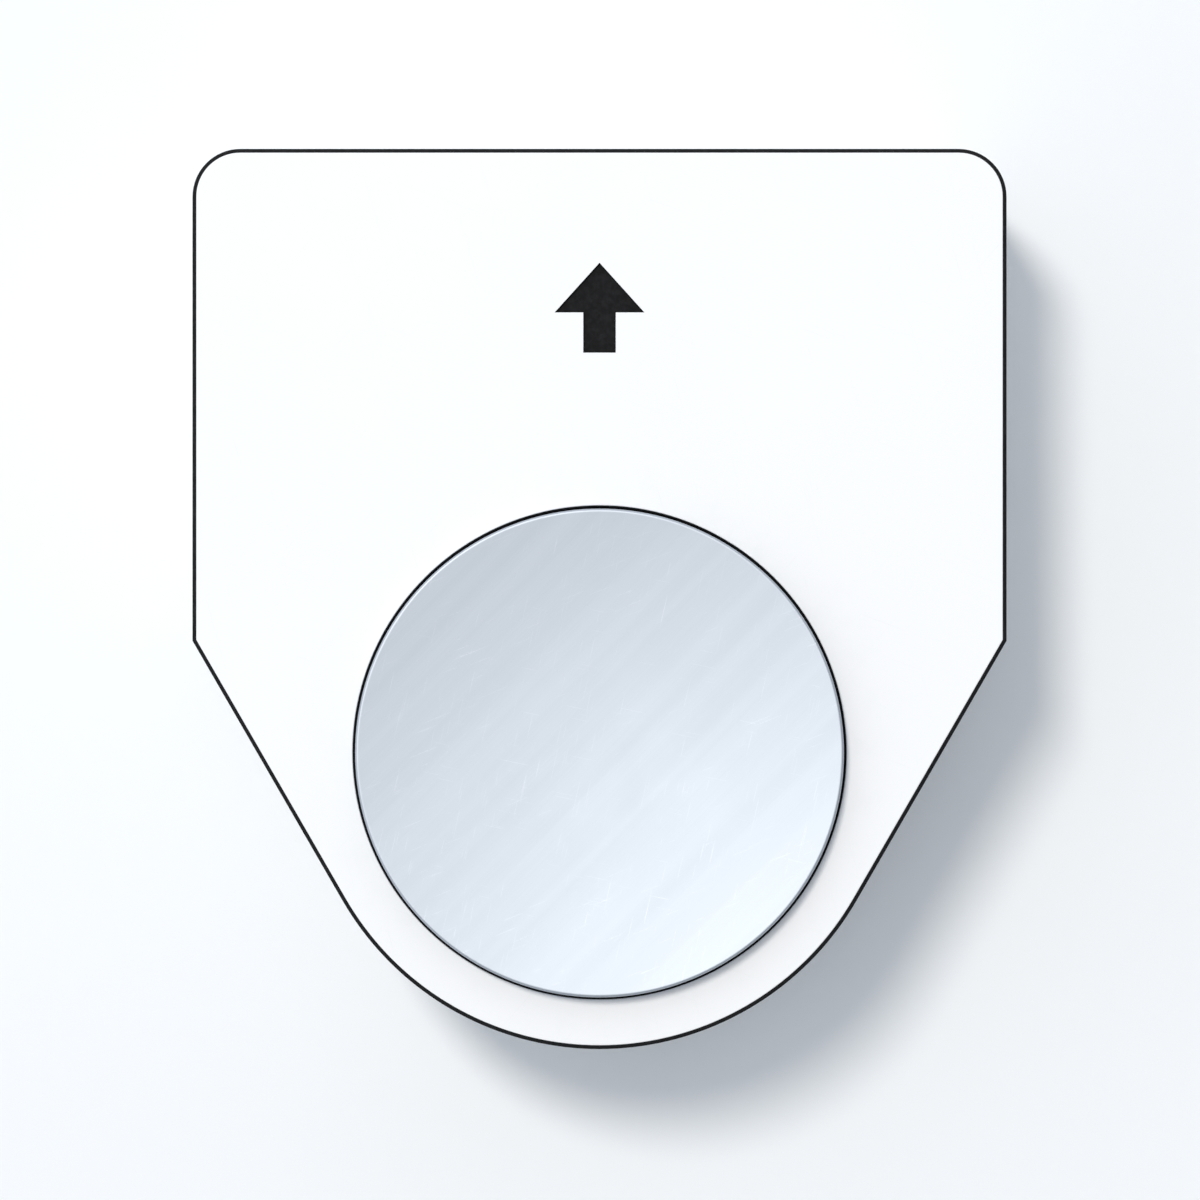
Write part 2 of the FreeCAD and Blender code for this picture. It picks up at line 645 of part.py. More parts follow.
# The face.
def legend_plate():
    """White skin on a dark core: the bevels and the engraved arrow bare the core."""
    body = new_body("legend_plate")

    def face(outline):
        outline.shield(half_width, top_height, nose_radius, corner_radius)
        outline.circle(0, 0, legend_bore)

    plate = pad(body, legend_back, legend_front, face)
    rim = edges_at(plate, legend_front, lambda edge: not is_round(edge, legend_bore))
    bevelled = dress(body, "Chamfer", plate, rim, edge_bevel)
    bore = edges_at(bevelled, legend_front, lambda edge: is_round(edge, legend_bore))
    dress(body, "Chamfer", bevelled, bore, hole_bevel)
    tip = arrow_middle + arrow_length / 2
    tail = arrow_middle - arrow_length / 2
    barb = tip - arrow_head
    half, shaft = arrow_width / 2, arrow_shaft / 2
    left_side = [(-half, barb), (-shaft, barb), (-shaft, tail)]
    right_side = [(shaft, tail), (shaft, barb), (half, barb)]
    arrow = [(0, tip)] + left_side + right_side
    pocket(body, legend_front - arrow_depth, legend_front, lambda o: o.polygon(arrow))
    return keep(body)


def adhesive_sheet():
    """Double-sided sheet that holds the legend plate on the housing."""
    body = new_body("adhesive_sheet")
    inset = adhesive_inset

    def sheet_face(outline):
        outline.shield(half_width - inset, top_height - inset, nose_radius - inset, corner_radius - inset)
        outline.circle(0, 0, web_bore + inset)

    pad(body, web_front, legend_back, sheet_face)
    return keep(body)


# The casing.
def case_outline(outline, inset):
    """The outline that the housing, gasket and back plate share, taken in by inset."""
    inward = outline_step + inset
    outline.shield(half_width - inward, top_height - inward, nose_radius - inward, corner_radius - inward)


def housing_cavity(outline):
    """The inside of the housing walls."""
    inward = outline_step + housing_wall
    outline.shield(half_width - inward, top_height - inward, housing_nose, cavity_corner)


def front_housing():
    """Cast casing, open to the back: side walls, a front web round the button, and screw bosses."""
    body = new_body("front_housing")
    pad(body, housing_back, web_front, lambda o: case_outline(o, 0))
    pocket(body, housing_back, web_back, housing_cavity)
    pad(body, housing_back, web_back, lambda o: o.circles(cover_places, boss_radius))
    pad(body, carrier_front, web_back, lambda o: o.circles(carrier_places, carrier_boss_radius))
    pocket(body, web_back, web_front, lambda o: o.circle(0, 0, web_bore))
    groove = web_bore + seal_depth
    seal_back, seal_front = seal_middle - seal_width / 2, seal_middle + seal_width / 2
    pocket(body, seal_back, seal_front, lambda o: o.circle(0, 0, groove))
    thread_end = plate_back + cover_screw_length
    pocket(body, housing_back, thread_end, lambda o: o.circles(cover_places, cover_screw_radius))
    boss_end = carrier_front + carrier_screw_hold
    pocket(body, carrier_front, boss_end, lambda o: o.circles(carrier_places, carrier_screw_radius))
    drain = Outline(body, "XY_Plane", outline_step - nose_radius)
    drain.circle(0, -drain_level, drain_radius)
    hole = body.newObject("PartDesign::Pocket", "Pocket")
    hole.Profile = drain.sketch
    hole.Reversed = True
    bind(hole, "Length", housing_wall + overcut)
    return keep(body)


def housing_gasket():
    body = new_body("housing_gasket")

    def rim(outline):
        case_outline(outline, gasket_inset)
        housing_cavity(outline)

    pad(body, plate_front, housing_back, rim)
    pad(body, plate_front, housing_back, lambda o: o.circles(cover_places, boss_radius))
    hole = cover_screw_radius + screw_clear
    pocket(body, plate_front, housing_back, lambda o: o.circles(cover_places, hole))
    return keep(body)


def back_plate():
    """Closes the housing, takes the wall fixings and the cable, and carries the contact block."""
    body = new_body("back_plate")
    pad(body, plate_back, plate_front, lambda o: case_outline(o, 0))
    pad(body, plate_front, carrier_back - post_gap, lambda o: o.circle(*low_fixing, fixing_boss_radius))
    high_boss_front = plate_front + high_boss_height
    pad(body, plate_front, high_boss_front, lambda o: o.circle(*high_fixing, fixing_boss_radius))
    earth = (earth_across, earth_height)
    pad(body, plate_front, earth_seat, lambda o: o.circle(*earth, earth_boss_radius))
    pocket(body, plate_back, insert_front, lambda o: o.circles([low_fixing, high_fixing], insert_radius))
    pocket(body, plate_back, plate_front, lambda o: o.circle(0, cable_height, grommet_neck))
    pocket(body, block_thread_end, plate_front, lambda o: o.circles(block_places, block_screw_radius))
    pocket(body, earth_thread_end, earth_seat, lambda o: o.circle(*earth, earth_screw_radius))
    hole = cover_screw_radius + screw_clear
    screws = pocket(body, plate_back, plate_front, lambda o: o.circles(cover_places, hole))
    mouths = edges_at(screws, plate_back, lambda edge: is_round(edge, hole))
    sunk = dress(body, "Chamfer", screws, mouths, cover_head_radius - cover_screw_radius)
    rim = edges_at(sunk, plate_back, lambda edge: not edge.isClosed())
    dress(body, "Chamfer", sunk, rim, plate_bevel)
    return keep(body)


def wall_gasket():
    """Rubber sheet between the back plate and the wall, open round the fixings, screws and cable."""
    body = new_body("wall_gasket")
    pad(body, 0, plate_back, lambda o: case_outline(o, wall_gasket_inset))
    fixing_hole = insert_radius + hole_room
    screw_hole = cover_head_radius + hole_room
    pocket(body, 0, plate_back, lambda o: o.circles([low_fixing, high_fixing], fixing_hole))
    pocket(body, 0, plate_back, lambda o: o.circles(cover_places, screw_hole))
    pocket(body, 0, plate_back, lambda o: o.circle(0, cable_height, grommet_flange + hole_room))
    return keep(body)


def cover_screws():
    """Countersunk screws, driven from the wall side: a hexagon socket with a centre pin."""
    members = []
    neck = cover_screw_radius
    sink = cover_head_radius - cover_screw_radius
    seat = plate_back + screw_clear
    tip = plate_back + cover_screw_length
    outline = [
        (0, seat),
        (cover_head_radius, seat),
        (neck, seat + sink),
        (neck, tip - screw_point),
        (neck - screw_point, tip),
        (0, tip),
    ]

    def socket(outline):
        outline.hexagon(socket_flats)
        outline.circle(0, 0, socket_pin)

    for number, (across, up) in enumerate(cover_places, 1):
        body = turned(f"cover_screw_{number}", outline, across, up)
        pocket(body, seat, seat + socket_depth, socket)
        members.append(body)
    return group("cover_screws", members)


def mounting_inserts():
    """Threaded brass inserts that take the fixing screws from behind the wall."""
    members = []
    for number, (across, up) in enumerate((low_fixing, high_fixing), 1):
        name = f"mounting_insert_{number}"
        members.append(ring(name, fixing_radius, insert_radius, plate_back, insert_front, across, up))
    return group("mounting_inserts", members)


def cable_grommet():
    back = plate_back - grommet_lip
    front = plate_front + grommet_lip
    outline = [
        (cable_radius, back),
        (grommet_flange - grommet_bevel, back),
        (grommet_flange, back + grommet_bevel),
        (grommet_flange, plate_back),
        (grommet_neck, plate_back),
        (grommet_neck, plate_front),
        (grommet_flange, plate_front),
        (grommet_flange, front - grommet_bevel),
        (grommet_flange - grommet_bevel, front),
        (cable_radius, front),
    ]
    return keep(turned("cable_grommet", outline, 0, cable_height))


def earth_terminal():
    top = earth_seat + earth_washer_thick
    inner, outer = earth_screw_radius + screw_clear, earth_boss_radius - screw_clear
    keep(ring("earth_washer", inner, outer, earth_seat, top, earth_across, earth_height))
    tip = earth_thread_end + screw_clear
    keep(pan_screw("earth_screw", earth_screw_radius, top, tip, True, earth_across, earth_height))


# The button.
def button_cap():
    """A cup with a dished face, a hub for the stem and a flange that keeps it in the housing."""
    body = new_body("button_cap")
    bore_end = cap_hub_back + stud_length
    cup = [
        (0, cap_rim),
        (button_radius, cap_rim),
        (button_radius, flange_front),
        (flange_radius, flange_front),
        (flange_radius, flange_back),
        (cap_bore, flange_back),
        (cap_bore, cap_inner),
        (cap_hub_radius, cap_inner),
        (cap_hub_radius, cap_hub_back),
        (stud_radius, cap_hub_back),
        (stud_radius, bore_end),
        (0, bore_end),
    ]
    profile = Outline(body, "XY_Plane")
    profile.polygon([(radius, -level) for radius, level in cup])
    revolve(body, profile)
    dish = Outline(body, "XY_Plane")
    dish.half_lens(button_radius - cap_land, -cap_rim, cap_dish)
    revolve(body, dish, "Groove")
    hold_end = cap_inner + guide_pin_hold
    bored = pocket(body, cap_inner, hold_end, lambda o: o.circle(0, guide_pin_height, guide_pin_radius))
    rim = edges_at(bored, cap_rim, lambda edge: is_round(edge, button_radius))
    dress(body, "Fillet", bored, rim, cap_round)
    return keep(body)


def button_stem():
    """Screwed into the cap, guided by the bush, grooved for the clip."""
    groove = stem_radius - clip_groove
    stud_end = cap_hub_back + stud_length - stud_short
    outline = [
        (0, stem_back),
        (stem_radius - screw_point, stem_back),
        (stem_radius, stem_back + screw_point),
        (stem_radius, clip_back),
        (groove, clip_back),
        (groove, clip_front),
        (stem_radius, clip_front),
        (stem_radius, cap_hub_back),
        (stud_radius, cap_hub_back),
        (stud_radius, stud_end),
        (0, stud_end),
    ]
    return keep(turned("button_stem", outline))


def retaining_clip():
    """An open spring clip in the groove of the stem, with two eyes cut in its sides."""
    body = new_body("retaining_clip")
    groove = stem_radius - clip_groove

    def ring_face(outline):
        outline.circle(0, 0, clip_radius)
        outline.circle(0, 0, groove)

    pad(body, clip_back, clip_front, ring_face)
    mouth = groove - clip_grip
    pocket(body, clip_back, clip_front, lambda o: o.block(-mouth, mouth, -clip_radius - overcut, 0))
    eye = (groove + clip_radius) / 2 * cosine(as_dim(45)) + clip_eye / 2
    pocket(body, clip_back, clip_front, lambda o: o.circles([(eye, eye), (-eye, eye)], clip_eye))
    return keep(body)


def guide_pin():
    """Pressed into the back of the cap and free in the carrier, so that the button can't turn."""
    tail = carrier_back - button_travel
    outline = [
        (0, tail),
        (guide_pin_radius - screw_point, tail),
        (guide_pin_radius, tail + screw_point),
        (guide_pin_radius, cap_inner + guide_pin_hold),
        (0, cap_inner + guide_pin_hold),
    ]
    return keep(turned("guide_pin", outline, 0, guide_pin_height))


def wiper_seal():
    """A lip seal in the groove of the web, round the skirt of the button."""
    back, front = seal_middle - seal_width / 2, seal_middle + seal_width / 2
    outer, lip = web_bore + seal_depth, button_radius + seal_clear
    root_radius = web_bore + seal_clear
    outline = [
        (outer, back),
        (outer, front),
        (root_radius, front),
        (lip, seal_middle + seal_lip),
        (lip, seal_middle - seal_lip),
        (root_radius, back),
    ]
    return keep(turned("wiper_seal", outline))


# The carrier.
def carrier():
    """A cast plate across the back of the button: a disc with a square head, and a hub for the bush."""
    body = new_body("carrier")
    ear = carrier_boss_radius + carrier_ear
    side, top = carrier_across + ear, carrier_height + ear
    pad(body, carrier_back, carrier_front, lambda o: o.circle(0, 0, flange_radius))
    head = pad(body, carrier_back, carrier_front, lambda o: o.block(-side, side, 0, top))
    corners = corner_edges(head, top)
    body.Tip = dress(body, "Fillet", head, corners, ear)
    pad(body, carrier_front, hub_front, lambda o: o.circle(0, 0, hub_radius))
    pocket(body, carrier_back, hub_front, lambda o: o.circle(0, 0, bush_radius))
    pin_hole = guide_pin_radius + guide_pin_clear
    pocket(body, carrier_back, carrier_front, lambda o: o.circle(0, guide_pin_height, pin_hole))
    hole = carrier_screw_radius + screw_clear
    pocket(body, carrier_back, carrier_front, lambda o: o.circles(carrier_places, hole))
    return keep(body)


def guide_bush():
    bore = stem_radius + bush_clear
    lip = bush_radius + bush_lip
    outline = [
        (bore, carrier_back),
        (bush_radius, carrier_back),
        (bush_radius, hub_front),
        (lip, hub_front),
        (lip, bush_front),
        (bore, bush_front),
    ]
    return keep(turned("guide_bush", outline))


def carrier_screws():
    screws, washers = [], []
    seat = carrier_back - spring_washer_thick
    tip = carrier_front + carrier_screw_hold - screw_point
    inner, outer = carrier_screw_radius + screw_clear / 2, carrier_screw_radius * head_spread
    for number, (across, up) in enumerate(carrier_places, 1):
        name = f"carrier_screw_{number}"
        screws.append(pan_screw(name, carrier_screw_radius, seat, tip, False, across, up))
        washers.append(ring(f"spring_washer_{number}", inner, outer, seat, carrier_back, across, up))
    group("carrier_screws", screws)
    group("spring_washers", washers)


# The contact block.
def each_side(outline, near, far, half):
    """The same rectangle on both sides of the centre line."""
    outline.block(near, far, -half, half)
    outline.block(-far, -near, -half, half)


def contact_base():
    """Moulded box: a well for the plunger, ledges for the fixed contacts, a bay for each terminal."""
    body = new_body("contact_base")
    well = strip_start - strip_margin
    strip = strip_width / 2
    bay = clamp_side / 2 + bay_gap
    cavity = cavity_half
    pad(body, plate_front, cover_back, lambda o: o.block(-block_half, block_half, -block_tall, block_tall))
    pocket(body, floor_front, cover_back, lambda o: o.block(-well, well, -cavity, cavity))
    pocket(body, strip_back, cover_back, lambda o: o.block(-barrier_start, barrier_start, -cavity, cavity))
    pocket(body, strip_back, strip_front, lambda o: each_side(o, strip_start, block_half, strip))
    pocket(body, strip_front, cover_back, lambda o: each_side(o, bay_start, block_half, bay))
    places = [(terminal_across, 0), (-terminal_across, 0)]
    pocket(body, terminal_thread_end, strip_back, lambda o: o.circles(places, terminal_radius))
    hole = block_screw_radius + screw_clear
    pocket(body, plate_front, cover_back, lambda o: o.circles(block_places, hole))
    return keep(body)


def contact_cover():
    body = new_body("contact_cover")
    opening = cavity_half
    pad(body, cover_back, block_front, lambda o: o.block(-bay_start, bay_start, -block_tall, block_tall))
    pocket(body, cover_back, block_front, lambda o: o.block(-opening, opening, -opening, opening))
    hole = block_screw_radius + screw_clear
    pocket(body, cover_back, block_front, lambda o: o.circles(block_places, hole))
    return keep(body)


def fixed_contact(label, side):
    """A brass strip from under the bridge to a terminal: side is 1 on the right and -1 on the left."""
    body = new_body(label)
    strip = strip_width / 2
    ends = sorted((side * strip_start, side * (block_half - clamp_gap)), key=lambda end: end.value)
    pad(body, strip_back, strip_front, lambda o: o.block(*ends, -strip, strip))
    hole = terminal_radius + screw_clear
    pocket(body, strip_back, strip_front, lambda o: o.circle(side * terminal_across, 0, hole))
    return keep(body)


def contact_tips(label, back, front):
    """Two silver tips, one over each fixed contact."""
    outline = [(0, back), (tip_radius, back), (tip_radius, front), (0, front)]
    places = (tip_spacing / 2, -tip_spacing / 2)
    return group(label, [turned(f"{label}_{n}", outline, across) for n, across in enumerate(places, 1)])


def contact_bridge():
    body = new_body("contact_bridge")
    pad(body, bar_back, bar_front, lambda o: o.block(-bar_half, bar_half, -bar_width / 2, bar_width / 2))
    return keep(body)


def plunger():
    """A square slide with a window for the bridge and a round head for the stem."""
    body = new_body("plunger")
    half = plunger_half
    roof = window_front + window_roof
    pad(body, ledge_back, roof, lambda o: o.block(-half, half, -half, half))
    pad(body, roof, plunger_front, lambda o: o.circle(0, 0, plunger_head))
    window_back = bar_back - rest_gap
    past = half + overcut
    pocket(body, window_back, window_front, lambda o: o.block(-past, past, -window_half, window_half))
    return keep(body)


def terminals():
    """A screw and a square clamp at each end of the block, open to the front and the sides."""
    screws, clamps = [], []
    clamp_front = strip_front + clamp_thick
    half, hole = clamp_side / 2, terminal_radius + screw_clear
    tip = terminal_thread_end + screw_clear
    for name, across in (("right", terminal_across), ("left", -terminal_across)):
        screws.append(pan_screw(f"{name}_terminal_screw", terminal_radius, clamp_front, tip, True, across))
        clamp = new_body(f"{name}_terminal_clamp")
        pad(clamp, strip_front, clamp_front, lambda o: o.block(-half, half, -half, half))
        pocket(clamp, strip_front, clamp_front, lambda o: o.circle(0, 0, hole))
        place(clamp, across, 0)
        clamps.append(clamp)
    group("terminal_screws", screws)
    group("terminal_clamps", clamps)


def block_screws():
    members = []
    tip = block_thread_end + screw_clear
    for number, (across, up) in enumerate(block_places, 1):
        name = f"block_screw_{number}"
        members.append(pan_screw(name, block_screw_radius, block_front, tip, True, across, up))
    return group("block_screws", members)


# Building, checking, writing.
def build():
    legend_plate()
    adhesive_sheet()
    front_housing()
    housing_gasket()
    back_plate()
    wall_gasket()
    cover_screws()
    mounting_inserts()
    cable_grommet()
    earth_terminal()
    button_cap()
    button_stem()
    retaining_clip()
    washer_radius = clip_radius + washer_reach
    keep(ring("thrust_washer", stem_radius + screw_clear / 2, washer_radius, clip_front, washer_front))
    guide_pin()
    wiper_seal()
    keep(ring("stop_ring", web_bore + seal_clear, flange_radius, flange_front, web_back))
    carrier()
    guide_bush()
    carrier_screws()
    coil("return_spring", return_wire, return_radius, return_coils, carrier_front, cap_inner)
    contact_base()
    contact_cover()
    fixed_contact("fixed_contact_right", 1)
    fixed_contact("fixed_contact_left", -1)
    contact_tips("fixed_tips", strip_front, fixed_tip_front)
    contact_bridge()
    contact_tips("bridge_tips", bridge_tip_back, bar_back)
    plunger()
    coil("contact_spring", fine_wire, contact_spring_radius, contact_spring_coils, bar_front, window_front)
    coil("plunger_spring", fine_wire, plunger_spring_radius, plunger_spring_coils, floor_front, ledge_back)
    terminals()
    block_screws()


def check():
    """Stops at the first object that failed, cut that removed nothing, or sub-part that isn't solid."""
    for thing in doc.Objects:
        if "Invalid" in thing.State or "Error" in thing.State:
            raise RuntimeError(f"{thing.Label} failed: {thing.State}")
        if thing.TypeId in ("PartDesign::Pocket", "PartDesign::Groove"):
            removed = thing.BaseFeature.Shape.Volume - thing.Shape.Volume
            if removed < least_cut:
                raise RuntimeError(f"{thing.Label} cut nothing")
    for thing in exported:
        shape = thing.Shape
        if shape.isNull() or not shape.isValid() or not shape.Solids:
            raise RuntimeError(f"{thing.Label} is not a valid solid")


def write():
    os.makedirs("parts", exist_ok=True)
    for thing in exported:
        thing.Shape.exportStep(os.path.join("parts", thing.Label + ".step"))
        print(f"{thing.Label}: {len(thing.Shape.Solids)} solid, {thing.Shape.Volume:.1f} mm3")


build()
doc.recompute()
check()
write()
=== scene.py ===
import json
import math

import bmesh
import bpy
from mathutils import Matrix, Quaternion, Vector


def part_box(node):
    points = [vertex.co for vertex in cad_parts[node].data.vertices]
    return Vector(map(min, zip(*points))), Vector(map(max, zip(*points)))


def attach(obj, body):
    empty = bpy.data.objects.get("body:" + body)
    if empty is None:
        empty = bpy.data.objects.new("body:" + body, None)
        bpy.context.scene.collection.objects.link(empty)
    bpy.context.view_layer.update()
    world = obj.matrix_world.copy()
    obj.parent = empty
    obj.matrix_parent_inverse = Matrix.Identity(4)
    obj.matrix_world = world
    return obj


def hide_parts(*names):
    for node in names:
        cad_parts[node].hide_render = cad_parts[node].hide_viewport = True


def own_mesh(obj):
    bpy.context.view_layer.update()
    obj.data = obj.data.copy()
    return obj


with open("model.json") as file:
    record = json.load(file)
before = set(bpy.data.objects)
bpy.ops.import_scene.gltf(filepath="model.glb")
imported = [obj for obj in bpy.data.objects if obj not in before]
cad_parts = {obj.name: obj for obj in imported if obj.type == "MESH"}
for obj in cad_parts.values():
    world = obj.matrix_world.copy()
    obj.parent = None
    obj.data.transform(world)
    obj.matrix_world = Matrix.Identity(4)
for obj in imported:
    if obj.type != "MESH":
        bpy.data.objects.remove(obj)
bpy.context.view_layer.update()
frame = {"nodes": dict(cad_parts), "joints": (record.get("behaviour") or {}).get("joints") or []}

# A pedestrian push button on a wall. Metres; +Z up, the face looks along -Y, the wall is Y = 0.
# A level is a distance in front of the wall, so Y = -level. mm turns millimetres into metres.
mm = 0.001
weld = 0.002 * mm           # corners nearer than this become one
buttonRadius = 25.4 * mm    # of the button's round face


def levelsOf(node):  # (back, front) of a CAD node, in front of the wall
    low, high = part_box(node)
    return -high.y, -low.y


def middleOf(node):
    low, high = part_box(node)
    return (low + high) / 2


def near(value, target, room=0.001 * mm):
    return abs(value - target) < room


def startPiece(name):  # the primitive just added, with its place put into its mesh
    piece = bpy.context.object
    piece.name = name
    piece.data.name = name
    bpy.ops.object.select_all(action="DESELECT")
    piece.select_set(True)
    bpy.ops.object.transform_apply(location=True, rotation=True, scale=True)
    return piece


def openEdit(piece, kind="VERT"):
    bpy.ops.object.select_all(action="DESELECT")
    bpy.context.view_layer.objects.active = piece
    piece.select_set(True)
    bpy.ops.object.mode_set(mode="EDIT")
    bpy.ops.mesh.select_mode(type=kind)


def closeEdit():
    bpy.ops.object.mode_set(mode="OBJECT")


def pickEdges(wanted):  # selects the edges that wanted() accepts, in edit mode
    bpy.ops.mesh.select_mode(type="EDGE")
    bpy.ops.mesh.select_all(action="DESELECT")
    mesh = bmesh.from_edit_mesh(bpy.context.edit_object.data)
    for edge in mesh.edges:
        if wanted(edge):
            edge.select_set(True)
    bmesh.update_edit_mesh(bpy.context.edit_object.data)


def joinAs(name, pieces):
    bpy.ops.object.select_all(action="DESELECT")
    for piece in pieces:
        piece.select_set(True)
    bpy.context.view_layer.objects.active = pieces[0]
    if len(pieces) > 1:
        bpy.ops.object.join()
    pieces[0].name = name
    pieces[0].data.name = name
    return pieces[0]


def closeShell(piece):  # welds a piece made of bands and flats, and turns its faces outwards
    openEdit(piece)
    bpy.ops.mesh.select_all(action="SELECT")
    bpy.ops.mesh.remove_doubles(threshold=weld)
    bpy.ops.mesh.normals_make_consistent(inside=False)
    closeEdit()
    return piece


def smooth(piece, angle=32):
    bpy.ops.object.select_all(action="DESELECT")
    bpy.context.view_layer.objects.active = piece
    piece.select_set(True)
    bpy.ops.object.shade_smooth_by_angle(angle=math.radians(angle))


def drawLoop(level, start, strokes):
    # one vertex, extruded along strokes: (x, z) is a straight edge to a point,
    # (centre x, centre z, degrees, steps) an arc. The last stroke comes back to the start.
    bpy.ops.mesh.primitive_plane_add(size=mm, location=(start[0], -level, start[1]))
    piece = startPiece("loop")
    openEdit(piece)
    bpy.ops.mesh.select_all(action="SELECT")
    bpy.ops.mesh.merge(type="CENTER")
    x, z = start
    for stroke in strokes:
        if len(stroke) == 2:
            move = (stroke[0] - x, 0, stroke[1] - z)
            bpy.ops.mesh.extrude_vertices_move(TRANSFORM_OT_translate={"value": move})
            x, z = stroke
        else:
            centreX, centreZ, degrees, steps = stroke
            turnBy = math.radians(degrees)
            bpy.ops.mesh.spin(steps=steps, angle=turnBy, center=(centreX, -level, centreZ), axis=(0, 1, 0))
            dx, dz = x - centreX, z - centreZ
            x = centreX + dx * math.cos(turnBy) - dz * math.sin(turnBy)
            z = centreZ + dx * math.sin(turnBy) + dz * math.cos(turnBy)
    bpy.ops.mesh.select_all(action="SELECT")
    bpy.ops.mesh.remove_doubles(threshold=weld)
    closeEdit()
    return piece


def circleLoop(radius, level, across=0.0, up=0.0, count=128):
    bpy.ops.mesh.primitive_circle_add(
        vertices=count, radius=radius, fill_type="NOTHING",
        location=(across, -level, up), rotation=(math.pi / 2, 0, 0))
    return startPiece("loop")


def flat(loops):  # a flat face inside the first loop, with the others as holes
    piece = joinAs("flat", loops)
    openEdit(piece, "EDGE")
    bpy.ops.mesh.select_all(action="SELECT")
    bpy.ops.mesh.fill(use_beauty=True)
    closeEdit()
    return piece


def band(first, second):  # a strip of faces between two loops
    piece = joinAs("band", [first, second])
    openEdit(piece, "EDGE")
    bpy.ops.mesh.select_all(action="SELECT")
    bpy.ops.mesh.bridge_edge_loops()
    closeEdit()
    return piece


def turned(name, outline, across=0.0, up=0.0, count=96, whole=True):
    # a ring extruded and scaled from corner to corner: outline is (radius, level), with radius 0 on the axis.
    # whole closes a ring-shaped outline on itself, or caps one that starts or ends on the axis.
    onAxis = near(outline[0][0], 0) or near(outline[-1][0], 0)
    corners = [corner for corner in outline if not near(corner[0], 0)]
    if whole and not onAxis:
        corners.append(corners[0])
    radius, level = corners[0]
    piece = circleLoop(radius, level, across, up, count)
    piece.name = name
    openEdit(piece, "EDGE")
    bpy.ops.mesh.select_all(action="SELECT")
    if near(outline[0][0], 0):
        bpy.ops.mesh.edge_face_add()
        pickEdges(lambda edge: True)
    for nextRadius, nextLevel in corners[1:]:
        bpy.ops.mesh.extrude_edges_move(TRANSFORM_OT_translate={"value": (0, level - nextLevel, 0)})
        share = nextRadius / radius
        if not near(share, 1):
            bpy.ops.transform.resize(value=(share, 1, share), center_override=(across, -nextLevel, up))
        radius, level = nextRadius, nextLevel
    if near(outline[-1][0], 0):
        bpy.ops.mesh.edge_face_add()
    closeEdit()
    return closeShell(piece) if whole else piece


def finishPiece(piece, body, material, node):
    piece.data.materials.clear()
    piece.data.materials.append(material)
    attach(piece, body)
    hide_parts(node)


